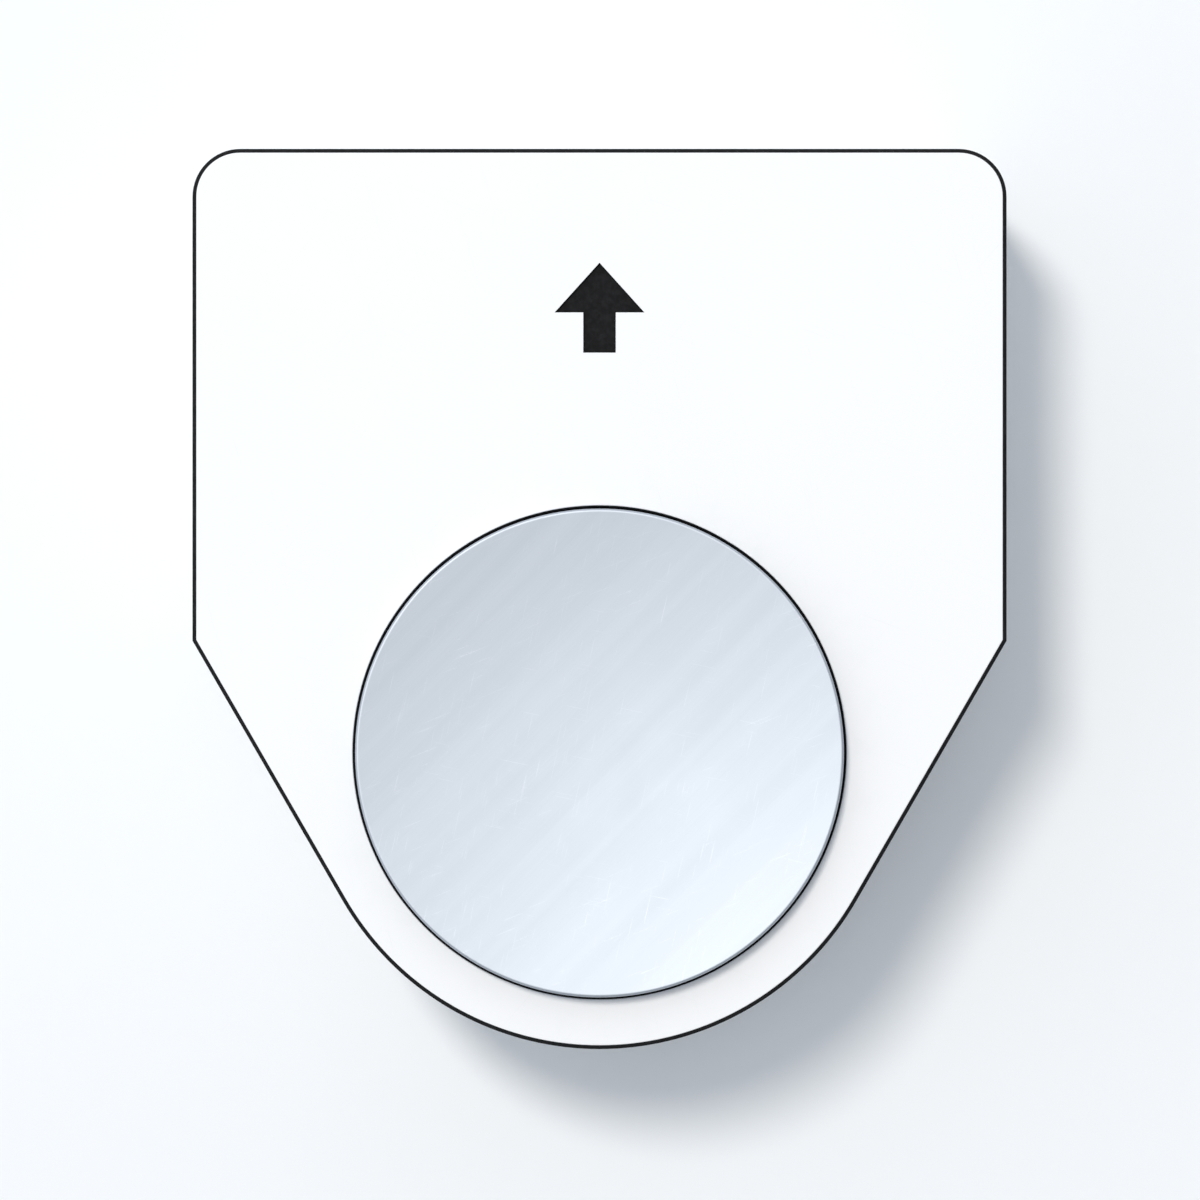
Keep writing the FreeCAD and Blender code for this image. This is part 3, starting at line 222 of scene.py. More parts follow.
class Finish:  # one material's node tree; patterns are in Object coordinates, sizes in metres
    def __init__(self, name):
        self.material = bpy.data.materials.new(name)
        self.material.use_nodes = True
        self.nodes = self.material.node_tree.nodes
        self.links = self.material.node_tree.links
        self.shader = self.nodes["Principled BSDF"]
        self.place = self.nodes.new("ShaderNodeTexCoord").outputs["Object"]
        split = self.nodes.new("ShaderNodeSeparateXYZ")
        self.links.new(self.place, split.inputs[0])
        self.x, self.y, self.z = split.outputs

    def feed(self, socket, value):
        if hasattr(value, "is_output"):
            self.links.new(value, socket)
        else:
            socket.default_value = value

    def maths(self, operation, first, second=0.0):
        node = self.nodes.new("ShaderNodeMath")
        node.operation = operation
        self.feed(node.inputs[0], first)
        self.feed(node.inputs[1], second)
        return node.outputs[0]

    def times(self, first, second):
        return self.maths("MULTIPLY", first, second)

    def plus(self, first, second):
        return self.maths("ADD", first, second)

    def minus(self, first, second):
        return self.maths("SUBTRACT", first, second)

    def stretched(self, sizes, degrees=0.0, shift=0.0):  # blotch sizes along X, Y and Z, then turned about Y
        node = self.nodes.new("ShaderNodeMapping")
        node.vector_type = "TEXTURE"
        node.inputs["Scale"].default_value = sizes
        node.inputs["Rotation"].default_value = (0, math.radians(degrees), 0)
        node.inputs["Location"].default_value = (0, shift, 0)
        self.links.new(self.place, node.inputs["Vector"])
        return node.outputs[0]

    def noise(self, size, detail=2.0, rough=0.5, place=None):  # size: width of one blotch, in metres
        node = self.nodes.new("ShaderNodeTexNoise")
        node.inputs["Scale"].default_value = 1 / size
        node.inputs["Detail"].default_value = detail
        node.inputs["Roughness"].default_value = rough
        self.links.new(place or self.place, node.inputs["Vector"])
        return node.outputs["Fac"]

    def span(self, source, low, high, toLow=0.0, toHigh=1.0):  # maps low..high to toLow..toHigh, clamped
        node = self.nodes.new("ShaderNodeMapRange")
        node.interpolation_type = "SMOOTHSTEP"
        self.links.new(source, node.inputs["Value"])
        for name, value in (("From Min", low), ("From Max", high), ("To Min", toLow), ("To Max", toHigh)):
            node.inputs[name].default_value = value
        return node.outputs["Result"]

    def mix(self, share, first, second):
        node = self.nodes.new("ShaderNodeMix")
        node.data_type = "RGBA"
        self.feed(node.inputs["Factor"], share)
        for socket, value in ((node.inputs[6], first), (node.inputs[7], second)):
            self.feed(socket, (*value, 1) if isinstance(value, tuple) else value)
        return node.outputs[2]

    def blendValues(self, share, first, second):  # first where share is 0, second where it is 1
        node = self.nodes.new("ShaderNodeMix")
        for socket, value in zip(node.inputs, (share, None, first, second)):
            if value is not None:
                self.feed(socket, value)
        return node.outputs[0]

    def away(self, across, up):  # distance from an axis along Y
        dx, dz = self.minus(self.x, across), self.minus(self.z, up)
        squares = self.plus(self.times(dx, dx), self.times(dz, dz))
        return self.maths("SQRT", squares)

    def bump(self, height, depth, under=None):  # depth in metres
        node = self.nodes.new("ShaderNodeBump")
        node.inputs["Distance"].default_value = depth
        self.links.new(height, node.inputs["Height"])
        if under is not None:
            self.links.new(under, node.inputs["Normal"])
        return node.outputs["Normal"]

    def scratches(self, turns, width, length, amount):  # fine lines in a few directions on the faces across Y
        total = None
        for number, degrees in enumerate(turns):
            lines = self.noise(1.0, 1.0, 0.5, self.stretched((length, length, width), degrees, number))
            marks = self.span(lines, amount, amount + 0.04)
            total = marks if total is None else self.maths("MAXIMUM", total, marks)
        return total

    def done(self, colour, rough, normal, metallic=0.0, gloss=0.5):
        self.feed(self.shader.inputs["Base Color"], (*colour, 1) if isinstance(colour, tuple) else colour)
        self.feed(self.shader.inputs["Roughness"], rough)
        self.shader.inputs["Metallic"].default_value = metallic
        self.shader.inputs["Specular IOR Level"].default_value = gloss
        self.links.new(normal, self.shader.inputs["Normal"])
        return self.material


legendLook = {
    "skin": (0.90, 0.902, 0.905), "skinDepth": 0.07 * mm, "core": (0.004, 0.004, 0.0045),
    "rough": 0.42, "coreRough": 0.75, "gloss": 0.18, "grain": 0.22 * mm, "grainDepth": 0.0012 * mm,
    "soiled": (0.45, 0.47, 0.50), "corePale": (0.012, 0.012, 0.013), "coreSize": 0.5 * mm,
    "cloudSize": 26 * mm, "cloudShare": 0.012, "dustSize": 3.2 * mm, "dustShare": 0.05, "rubShare": 0.05,
    "rubTurns": (20, 74, 131), "rubWidth": 0.10 * mm, "rubLength": 9 * mm, "rubFrom": 0.735,
    "rubDepth": 0.002 * mm,
    "handledFrom": 25.5 * mm, "handledTo": 34 * mm,  # round the button, where hands touch
}


def legendMaterial(look, front):
    kit = Finish("whiteLaminate")
    skin = kit.maths("LESS_THAN", kit.y, -(front - look["skinDepth"]))
    cloud = kit.span(kit.noise(look["cloudSize"], 3), 0.35, 0.75)
    rub = kit.scratches(look["rubTurns"], look["rubWidth"], look["rubLength"], look["rubFrom"])
    handled = kit.span(kit.away(0, 0), look["handledFrom"], look["handledTo"], 1, 0)
    dust = kit.times(handled, kit.span(kit.noise(look["dustSize"], 4, 0.6), 0.45, 0.8))
    shade = kit.plus(kit.times(cloud, look["cloudShare"]), kit.times(rub, look["rubShare"]))
    shade = kit.plus(shade, kit.times(dust, look["dustShare"]))
    white = kit.mix(shade, look["skin"], look["soiled"])
    core = kit.mix(kit.span(kit.noise(look["coreSize"], 3), 0.3, 0.8), look["core"], look["corePale"])
    colour = kit.mix(skin, core, white)
    rough = kit.plus(kit.times(cloud, 0.07), look["rough"])
    rough = kit.minus(rough, kit.times(rub, 0.08))
    rough = kit.blendValues(skin, look["coreRough"], rough)
    grain = kit.bump(kit.noise(look["grain"], 2), look["grainDepth"])
    scored = kit.bump(rub, -look["rubDepth"], grain)
    return kit.done(colour, rough, scored, gloss=look["gloss"])


buttonLook = {
    "base": (0.49, 0.528, 0.578), "pale": (0.52, 0.558, 0.608), "rough": 0.52,
    "grainTurn": -45,  # the brushing runs from lower left to upper right, degrees about Y
    "grainWidth": 0.11 * mm, "grainLength": 11 * mm, "grainDepth": 0.0020 * mm,
    "bandWidth": 1.6 * mm, "bandLength": 60 * mm, "cloudSize": 9 * mm,
    "rubTurns": (12, 103, 158), "rubWidth": 0.05 * mm, "rubLength": 6 * mm, "rubFrom": 0.74,
    "rubDepth": 0.0012 * mm, "rubTone": (0.90, 0.91, 0.92),
    "handledFrom": 4 * mm, "handledTo": 23 * mm,  # the middle, where fingers polish it
}


def buttonMaterial(look):
    kit = Finish("brushedMetal")
    hairSizes = (look["grainLength"], look["grainLength"], look["grainWidth"])
    bandSizes = (look["bandLength"], look["bandLength"], look["bandWidth"])
    hairs = kit.noise(1.0, 2, 0.6, kit.stretched(hairSizes, look["grainTurn"]))
    bands = kit.noise(1.0, 1, 0.5, kit.stretched(bandSizes, look["grainTurn"]))
    handled = kit.span(kit.away(0, 0), look["handledFrom"], look["handledTo"], 1, 0)
    cloud = kit.span(kit.noise(look["cloudSize"], 3), 0.3, 0.7)
    rub = kit.scratches(look["rubTurns"], look["rubWidth"], look["rubLength"], look["rubFrom"])
    shade = kit.times(kit.plus(bands, hairs), 0.5)
    colour = kit.mix(kit.span(shade, 0.3, 0.7), look["base"], look["pale"])
    colour = kit.mix(kit.times(rub, 0.2), colour, look["rubTone"])
    polish = kit.times(kit.times(handled, cloud), 0.02)
    rough = kit.minus(look["rough"], polish)
    rough = kit.plus(rough, kit.times(hairs, 0.05))
    rough = kit.minus(rough, kit.times(rub, 0.06))
    grain = kit.bump(hairs, look["grainDepth"])
    scored = kit.bump(rub, -look["rubDepth"], grain)
    return kit.done(colour, rough, scored, 1.0)


paintLook = {
    "base": (0.86, 0.868, 0.875), "dull": (0.76, 0.765, 0.76), "primer": (0.30, 0.31, 0.32),
    "rough": 0.40, "peel": 1.1 * mm, "peelDepth": 0.006 * mm,
    "streak": (2.4 * mm, 2.4 * mm, 38 * mm),  # rain marks, long down the sides
    "chipSize": 0.5 * mm, "chipReach": 0.5 * mm, "chipDepth": 0.04 * mm, "chipPatch": 9 * mm,
}


def paintMaterial(name, look, back, front):  # chipped to the primer near its back and front edges
    kit = Finish(name)
    level = kit.times(kit.y, -1.0)
    weather = kit.span(kit.noise(1.0, 3, 0.55, kit.stretched(look["streak"])), 0.52, 0.80)
    colour = kit.mix(kit.times(weather, 0.35), look["base"], look["dull"])
    edgeBack = kit.span(level, back, back + look["chipReach"], 1, 0)
    edgeFront = kit.span(level, front - look["chipReach"], front, 0, 1)
    edges = kit.maths("MAXIMUM", edgeBack, edgeFront)
    chips = kit.span(kit.noise(look["chipSize"], 4, 0.62), 0.60, 0.63)
    patches = kit.span(kit.noise(look["chipPatch"], 1), 0.56, 0.62)
    chipped = kit.times(kit.times(edges, chips), patches)
    colour = kit.mix(chipped, colour, look["primer"])
    rough = kit.plus(kit.times(weather, 0.10), look["rough"])
    rough = kit.plus(rough, kit.times(chipped, 0.2))
    peel = kit.bump(kit.noise(look["peel"], 2, 0.45), look["peelDepth"])
    chip = kit.bump(chipped, -look["chipDepth"], peel)
    return kit.done(colour, rough, chip)


rubberLook = {
    "base": (0.020, 0.020, 0.021), "dusty": (0.050, 0.049, 0.047), "rough": 0.62,
    "grain": 0.28 * mm, "grainDepth": 0.008 * mm, "settledSize": 12 * mm, "dustSize": 1.1 * mm,
}


def rubberMaterial(name, look):
    kit = Finish(name)
    settled = kit.span(kit.noise(look["settledSize"], 2), 0.30, 0.70)
    dust = kit.times(settled, kit.span(kit.noise(look["dustSize"], 5, 0.7), 0.35, 0.85))
    colour = kit.mix(dust, look["base"], look["dusty"])
    rough = kit.plus(kit.times(dust, 0.16), look["rough"])
    grain = kit.bump(kit.noise(look["grain"], 3, 0.6), look["grainDepth"])
    return kit.done(colour, rough, grain)


plainCloud = 3.5 * mm  # width of the blotches of tone and gloss
# tone, second tone, roughness, how much it varies, grain size and grain depth in mm, metallic
plainLooks = {
    "stainless": ((0.60, 0.605, 0.61), (0.48, 0.48, 0.485), 0.24, 0.14, 0.12, 0.0015, 1.0),
    "springSteel": ((0.44, 0.445, 0.46), (0.33, 0.33, 0.34), 0.30, 0.12, 0.10, 0.0010, 1.0),
    "bareBrass": ((0.78, 0.57, 0.26), (0.52, 0.36, 0.16), 0.26, 0.20, 0.20, 0.0020, 1.0),
    "sinteredBronze": ((0.58, 0.38, 0.20), (0.36, 0.23, 0.12), 0.42, 0.15, 0.15, 0.0060, 1.0),
    "castAlloy": ((0.56, 0.565, 0.57), (0.44, 0.445, 0.45), 0.46, 0.14, 0.45, 0.0120, 1.0),
    "greyMoulding": ((0.060, 0.063, 0.067), (0.085, 0.088, 0.092), 0.44, 0.10, 0.30, 0.0050, 0.0),
    "greenMoulding": ((0.030, 0.190, 0.070), (0.045, 0.240, 0.095), 0.38, 0.10, 0.30, 0.0040, 0.0),
    "silverAlloy": ((0.88, 0.87, 0.84), (0.66, 0.64, 0.60), 0.22, 0.18, 0.18, 0.0015, 1.0),
    "adhesiveFoam": ((0.030, 0.030, 0.031), (0.050, 0.050, 0.051), 0.80, 0.08, 0.15, 0.0080, 0.0),
}


def plainMaterial(name):
    tone, second, rough, vary, grain, depth, metallic = plainLooks[name]
    kit = Finish(name)
    cloud = kit.span(kit.noise(plainCloud, 4, 0.6), 0.32, 0.76)
    colour = kit.mix(cloud, tone, second)
    roughness = kit.plus(kit.times(cloud, vary), rough)
    surface = kit.bump(kit.noise(grain * mm, 3, 0.6), depth * mm)
    return kit.done(colour, roughness, surface, metallic)


finishes = {name: plainMaterial(name) for name in plainLooks}
finishes["blackRubber"] = rubberMaterial("blackRubber", rubberLook)
print("materials ready")

# The face: white laminate on a dark core, with an engraved arrow.

faceSizes = {
    "taper": 30,  # lean of the lower sides, degrees
    "corner": 5.0 * mm, "leastCorner": 0.3 * mm, "edgeBevel": 0.5 * mm,
    "holeGap": 0.2 * mm, "holeBevel": 0.25 * mm, "holeSides": 192, "noseSteps": 72, "cornerSteps": 16,
    "arrowWidth": 9.4 * mm, "arrowLength": 9.4 * mm, "arrowHead": 5.2 * mm, "arrowShaft": 3.4 * mm,
    "arrowMiddle": 46.4 * mm, "arrowDepth": 0.5 * mm,
    "arrowDraft": 0.08 * mm,  # the engraving's sides lean in by this
    "barbDraft": 2.2, "tipDraft": 1.4,  # and its slanted corners by more, in drafts
}
lean = math.radians(faceSizes["taper"])
faceLow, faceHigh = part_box("legend_plate")
faceBack, faceFront = levelsOf("legend_plate")
halfWidth, topHeight, noseRadius = faceHigh.x, faceHigh.z, -faceLow.z
capLow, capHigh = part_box("button_cap")
flangeRadius = capHigh.x


def shieldLoop(inset, level, corner=None):  # the face's outline, taken in by inset
    half, top, nose = halfWidth - inset, topHeight - inset, noseRadius - inset
    if corner is None:
        corner = max(faceSizes["corner"] - inset, faceSizes["leastCorner"])
    touchX, touchZ = nose * math.cos(lean), -nose * math.sin(lean)
    kink = (half * math.cos(lean) - nose) / math.sin(lean)
    arcDegrees = 180 - 2 * faceSizes["taper"]
    return drawLoop(level, (-touchX, touchZ), [
        (0, 0, arcDegrees, faceSizes["noseSteps"]),
        (half, kink),
        (half, top - corner),
        (half - corner, top - corner, 90, faceSizes["cornerSteps"]),
        (corner - half, top),
        (corner - half, top - corner, 90, faceSizes["cornerSteps"]),
        (-half, kink),
        (-touchX, touchZ),
    ])


def arrowLoop(level, inset):
    size = faceSizes
    top = size["arrowMiddle"] + size["arrowLength"] / 2
    half = size["arrowWidth"] / 2 - inset * size["barbDraft"]
    shaft = size["arrowShaft"] / 2 - inset
    tip = top - inset * size["tipDraft"]
    tail = top - size["arrowLength"] + inset
    barb = top - size["arrowHead"] + inset
    corners = [
        (-half, barb), (-shaft, barb), (-shaft, tail), (shaft, tail), (shaft, barb), (half, barb), (0, tip)]
    return drawLoop(level, (0, tip), corners)


def makeLegendPlate():
    size = faceSizes
    hole, ease, sides = buttonRadius + size["holeGap"], size["holeBevel"], size["holeSides"]
    bevel, depth, draft = size["edgeBevel"], size["arrowDepth"], size["arrowDraft"]
    front = flat([
        shieldLoop(bevel, faceFront),
        circleLoop(hole + ease, faceFront, count=sides),
        arrowLoop(faceFront, 0),
    ])
    back = flat([shieldLoop(0, faceBack), circleLoop(hole, faceBack, count=sides)])
    bevelled = band(shieldLoop(bevel, faceFront), shieldLoop(0, faceFront - bevel))
    side = band(shieldLoop(0, faceFront - bevel), shieldLoop(0, faceBack))
    boreOutline = [(hole + ease, faceFront), (hole, faceFront - ease), (hole, faceBack)]
    bore = turned("bore", boreOutline, count=sides, whole=False)
    cut = band(arrowLoop(faceFront, 0), arrowLoop(faceFront - depth, draft))
    floor = flat([arrowLoop(faceFront - depth, draft)])
    piece = closeShell(joinAs("legendPlate", [front, back, bevelled, side, bore, cut, floor]))
    smooth(piece)
    return piece


finishPiece(makeLegendPlate(), "housing", legendMaterial(legendLook, faceFront), "legend_plate")
print("legend plate ready")

# The button: a dished metal cap.

capSizes = {
    "wall": 2.0 * mm, "face": 3.0 * mm, "hub": 8.0 * mm, "hubHeight": 2.5 * mm, "flange": 2.0 * mm,
    "stud": 2.5 * mm, "studDepth": 3.2 * mm, "dish": 1.2 * mm, "land": 0.3 * mm, "lip": 0.25 * mm,
    "landEdge": 0.05 * mm, "rimRings": (0, 0.06 * mm, 0.2 * mm, 0.5 * mm),  # close rings keep the rim crisp
    "dishRings": 20, "lipSteps": 6, "sides": 192, "smooth": 28,
}


def makeButtonCap():
    size = capSizes
    back, rim = levelsOf("button_cap")
    radius, inner = buttonRadius, buttonRadius - size["wall"]
    lip, dish, stud = size["lip"], size["dish"], size["stud"]
    under = rim - size["face"]
    flangeFront = back + size["flange"]
    hubBack = under - size["hubHeight"]
    studEnd = hubBack + size["studDepth"]
    reach = radius - size["land"]
    bend = (reach**2 + dish**2) / (2 * dish)  # radius of the sphere that the dish is cut from
    rings = [reach - keep for keep in size["rimRings"]]
    rings += [reach * (1 - step / size["dishRings"]) for step in range(1, size["dishRings"])]
    dished = [(ring, rim - dish + bend - math.sqrt(bend**2 - ring**2)) for ring in rings]
    rounded = []
    for step in range(size["lipSteps"] + 1):
        angle = math.radians(90 * step / size["lipSteps"])
        rounded.append((radius - lip + lip * math.cos(angle), rim - lip + lip * math.sin(angle)))
    piece = turned("buttonCap", [
        (0, studEnd), (stud, studEnd), (stud, hubBack), (size["hub"], hubBack), (size["hub"], under),
        (inner, under), (inner, back),
        (flangeRadius, back), (flangeRadius, flangeFront), (radius, flangeFront),
        *rounded, (reach + size["landEdge"], rim), *dished, (0, rim - dish)], count=size["sides"])
    smooth(piece, size["smooth"])
    return piece


finishPiece(makeButtonCap(), "button", buttonMaterial(buttonLook), "button_cap")
print("button cap ready")

# The fastenings and the rubber that show at the back: four screws, two threaded inserts, grommet and gasket.

screwSizes = {
    "head": 4.0 * mm, "rim": 0.2 * mm, "thread": 2.0 * mm, "root": 1.68 * mm, "pitch": 0.7 * mm,
    "neck": 0.5 * mm, "point": 0.5 * mm, "pointRoot": 0.8, "flats": 2.5 * mm, "socket": 1.8 * mm,
    "pin": 0.45 * mm, "pinTop": 0.35 * mm, "sides": 64, "pinSides": 24,
}
screwBack, screwFront = levelsOf("cover_screws")
screwLow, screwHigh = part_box("cover_screws")
insertLow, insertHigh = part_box("mounting_inserts")
insertRadius = insertHigh.x
cableUp = middleOf("cable_grommet").z
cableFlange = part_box("cable_grommet")[1].x
screwHead = screwSizes["head"]
screwPlaces = [(side * (screwHigh.x - screwHead), up)
               for up in (screwLow.z + screwHead, screwHigh.z - screwHead) for side in (1, -1)]
insertPlaces = [(0, insertLow.z + insertRadius), (0, insertHigh.z - insertRadius)]


def hexagonLoop(flats, level):
    corner = flats / 2 / math.cos(math.radians(30))
    corners = [(corner * math.cos(math.radians(60 * turn)), corner * math.sin(math.radians(60 * turn)))
               for turn in range(1, 7)]
    return drawLoop(level, corners[-1], corners)


def ridges(crest, root, start, end, pitch):  # a thread's outline, as rings, crest first and last
    corners = []
    count = int(abs(end - start) / pitch)
    step = math.copysign(pitch, end - start)
    for number in range(count):
        corners += [(crest, start + step * (number + 0.1)), (root, start + step * (number + 0.5))]
    return corners + [(crest, start + step * (count + 0.1))]


def makeCoverScrew():  # countersunk, with a hexagon socket round a pin, so that a plain key won't fit
    size = screwSizes
    floor = screwBack + size["socket"]
    coneEnd = screwBack + screwHead - size["thread"]
    rim, flats, sides, pinSides = size["rim"], size["flats"], size["sides"], size["pinSides"]
    face = flat([circleLoop(screwHead - rim, screwBack, count=sides), hexagonLoop(flats, screwBack)])
    walls = band(hexagonLoop(flats, screwBack), hexagonLoop(flats, floor))
    bottom = flat([hexagonLoop(flats, floor), circleLoop(size["pin"], floor, count=pinSides)])
    pin = turned("pin", [
        (size["pin"], floor), (size["pin"], screwBack + size["pinTop"]),
        (size["pin"] * 0.7, screwBack + size["pinTop"] * 0.6), (0, screwBack + size["pinTop"] * 0.6)],
        count=pinSides, whole=False)
    tip = screwFront - size["point"]
    outside = turned("outside", [
        (screwHead - rim, screwBack), (screwHead - rim * 0.9, screwBack + rim * 0.7),
        (size["thread"], coneEnd), (size["root"], coneEnd + size["neck"] * 0.6),
        *ridges(size["thread"], size["root"], coneEnd + size["neck"], tip, size["pitch"])[:-1],
        (size["root"] * size["pointRoot"], screwFront), (0, screwFront)], count=sides, whole=False)
    return closeShell(joinAs("coverScrews", [face, walls, bottom, pin, outside]))


def copyTo(piece, places):  # moves the piece to the first place and a copy of it to each of the others
    copies = [piece]
    for _ in places[1:]:
        bpy.ops.object.select_all(action="DESELECT")
        piece.select_set(True)
        bpy.context.view_layer.objects.active = piece
        bpy.ops.object.duplicate()
        copies.append(bpy.context.object)
    for copy, (across, up) in zip(copies, places):
        openEdit(copy)
        bpy.ops.mesh.select_all(action="SELECT")
        bpy.ops.transform.translate(value=(across, 0, up))
        closeEdit()
    return joinAs(piece.name, copies)


screws = copyTo(makeCoverScrew(), screwPlaces)
smooth(screws)
finishPiece(screws, "housing", finishes["stainless"], "cover_screws")

insertSizes = {
    "bore": 2.5 * mm, "threadRoot": 2.92 * mm, "pitch": 1.0 * mm, "mouth": 3.15 * mm, "edge": 0.2 * mm,
    "groove": 0.35 * mm, "grooveHalf": 0.6 * mm, "sides": 96,
}


def makeInsert():
    size = insertSizes
    back, front = levelsOf("mounting_inserts")
    outer, edge, middle = insertRadius, size["edge"], (back + front) / 2
    waist, half = outer - size["groove"], size["grooveHalf"]
    return turned("mountingInserts", [
        (size["mouth"], back), (outer - edge, back), (outer, back + edge), (outer, middle - half - edge),
        (waist, middle - half), (waist, middle + half), (outer, middle + half + edge), (outer, front - edge),
        (outer - edge, front), (size["mouth"], front),
        *ridges(size["bore"], size["threadRoot"], front - edge, back + edge, size["pitch"])],
        count=size["sides"])


inserts = copyTo(makeInsert(), insertPlaces)
smooth(inserts)
finishPiece(inserts, "housing", finishes["bareBrass"], "mounting_inserts")

grommetSizes = {
    "bore": 4.0 * mm, "neck": 7.0 * mm, "lip": 1.2 * mm, "round": 0.5 * mm, "sides": 128,
    "rib": 0.7 * mm,  # two ribs in the bore grip the cable
    "ringAt": 6.2 * mm, "ringHalf": 0.3 * mm, "ringDepth": 0.25 * mm,
}


def makeGrommet():
    size = grommetSizes
    back, front = levelsOf("cable_grommet")
    bore, lip, soft, wide = size["bore"], size["lip"], size["round"], cableFlange
    ringAt, ringHalf, ringDepth = size["ringAt"], size["ringHalf"], size["ringDepth"]

    def rib(end, inwards):  # one rib in the bore, from the end it is nearest to
        shape = [(0, 2), (size["rib"], 3.2), (size["rib"], 4.4), (0, 5.6)]
        return [(bore + rise, end + inwards * soft * along) for rise, along in shape]

    piece = turned("cableGrommet", [
        (bore + soft, back),
        (ringAt - ringHalf, back), (ringAt, back + ringDepth), (ringAt + ringHalf, back),
        (wide - soft, back), (wide - 0.4 * soft, back + 0.15 * soft), (wide - 0.1 * soft, back + 0.45 * soft),
        (wide, back + soft), (wide, back + lip), (size["neck"], back + lip),
        (size["neck"], front - lip), (wide, front - lip), (wide, front - soft),
        (wide - 0.1 * soft, front - 0.45 * soft), (wide - 0.4 * soft, front - 0.15 * soft),
        (wide - soft, front), (bore + soft, front), (bore, front - soft),
        *rib(front, -1), *reversed(rib(back, 1)), (bore, back + soft)], up=cableUp, count=size["sides"])
    smooth(piece)
    return piece


finishPiece(makeGrommet(), "housing", finishes["blackRubber"], "cable_grommet")

gasketSizes = {
    "inset": 1.65 * mm, "edge": 0.15 * mm, "skin": 0.4 * mm, "room": 0.6 * mm,
    "lip": 0.5 * mm,  # a sealing lip all round the edge
    "beadInset": 20.0 * mm,  # a sealing bead round the cable entry, inside the fixings
    "beadHalf": 0.9 * mm, "beadCorner": 3.0 * mm, "beadEase": 0.14 * mm, "holeSides": 64,
}


def makeWallGasket():  # a sheet with a lip and a round bead moulded on its wall side
    size = gasketSizes
    wall, front = levelsOf("wall_gasket")
    base = wall + size["skin"]
    inset, edge, half, ease = size["inset"], size["edge"], size["beadHalf"], size["beadEase"]
    lip = inset + size["lip"]
    rim = [(inset, front), (inset, wall + edge), (inset + edge, wall), (lip, wall), (lip + edge, base)]
    holes = [(screwHead + size["room"], place) for place in screwPlaces]
    holes += [(insertRadius + size["room"], place) for place in insertPlaces]
    cable = [(cableFlange + size["room"], (0, cableUp))]
    bead = [(-half, base), (-0.75 * half, wall + ease), (-0.35 * half, wall),
            (0.35 * half, wall), (0.75 * half, wall + ease), (half, base)]

    def beadLoop(across, level):
        return shieldLoop(size["beadInset"] + across, level, size["beadCorner"] - across)

    def rings(which, level):
        return [circleLoop(radius, level, *place, count=size["holeSides"]) for radius, place in which]

    pieces = [
        flat([shieldLoop(*rim[0])] + rings(holes + cable, front)),
        flat([shieldLoop(*rim[-1]), beadLoop(*bead[0])] + rings(holes, base)),
        flat([beadLoop(*bead[-1])] + rings(cable, base)),
    ]
    pieces += [band(shieldLoop(*first), shieldLoop(*second)) for first, second in zip(rim, rim[1:])]
    pieces += [band(beadLoop(*first), beadLoop(*second)) for first, second in zip(bead, bead[1:])]
    bores = zip(rings(holes + cable, base), rings(holes + cable, front))
    pieces += [band(first, second) for first, second in bores]
    piece = closeShell(joinAs("wallGasket", pieces))
    smooth(piece)
    return piece


finishPiece(makeWallGasket(), "housing", finishes["blackRubber"], "wall_gasket")
print("back fastenings and rubber ready")

# The springs, coiled from a wire section; how much each shortens as the button goes in is listed but not
# applied.

springSizes = {"sides": 14, "steps": 28, "closedPitch": 1.15, "smooth": 50}  # steps to a turn; pitch in wires


def makeSpring(name, node, wire, turns):  # a wire section, extruded and turned about the axis step by step
    back, front = levelsOf(node)
    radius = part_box(node)[1].x - wire / 2
    steps = springSizes["steps"]
    endPitch = wire * springSizes["closedPitch"]
    pitch = (front - back - wire - 2 * endPitch) / turns
    place = (radius, -back - wire / 2, 0)
    bpy.ops.mesh.primitive_circle_add(
        vertices=springSizes["sides"], radius=wire / 2, fill_type="NOTHING", location=place)
    piece = startPiece(name)
    openEdit(piece, "EDGE")
    bpy.ops.mesh.select_all(action="SELECT")
    bpy.ops.mesh.edge_face_add()
    pickEdges(lambda edge: True)
    for step in range((turns + 2) * steps):
        closed = step < steps or step >= (turns + 1) * steps
        rise = (endPitch if closed else pitch) / steps
        bpy.ops.mesh.extrude_edges_move(TRANSFORM_OT_translate={"value": (0, -rise, 0)})
        bpy.ops.transform.rotate(value=math.tau / steps, orient_axis="Y", center_override=(0, 0, 0))
    bpy.ops.mesh.edge_face_add()
    closeEdit()
    closeShell(piece)
    smooth(piece, springSizes["smooth"])
    return piece


travel = {joint["name"]: joint["range_m"][1] for joint in frame["joints"]}
# piece: node, body that holds it, wire, working turns, end that stays, joint, how much it shortens
springs = {
    "returnSpring": (
        "return_spring", "housing", 1.6 * mm, 3, "back", "button_slide", travel["button_slide"]),
    "plungerSpring": (
        "plunger_spring", "housing", 0.4 * mm, 3, "back", "plunger_slide", travel["plunger_slide"]),
    "contactSpring": (
        "contact_spring", "plunger", 0.4 * mm, 2, "front", "bridge_slide",
        travel["plunger_slide"] - travel["bridge_slide"]),
}
for name, (node, body, wire, turns, held, joint, shorter) in springs.items():
    spring = makeSpring(name, node, wire, turns)
    finishPiece(spring, body, finishes["springSteel"], node)
    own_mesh(spring)
print("springs ready")

# The castings: the CAD shape, with its outer edges rounded as a coated casting's are.

castingSizes = {
    "housingRound": 0.35 * mm, "plateRound": 0.25 * mm, "segments": 3,
    "reach": 0.35 * mm,  # edges no further in than this are on the outline
    "weld": 0.001 * mm, "flatTurn": 0.3, "kinkTurn": 15,  # degrees between faces
}


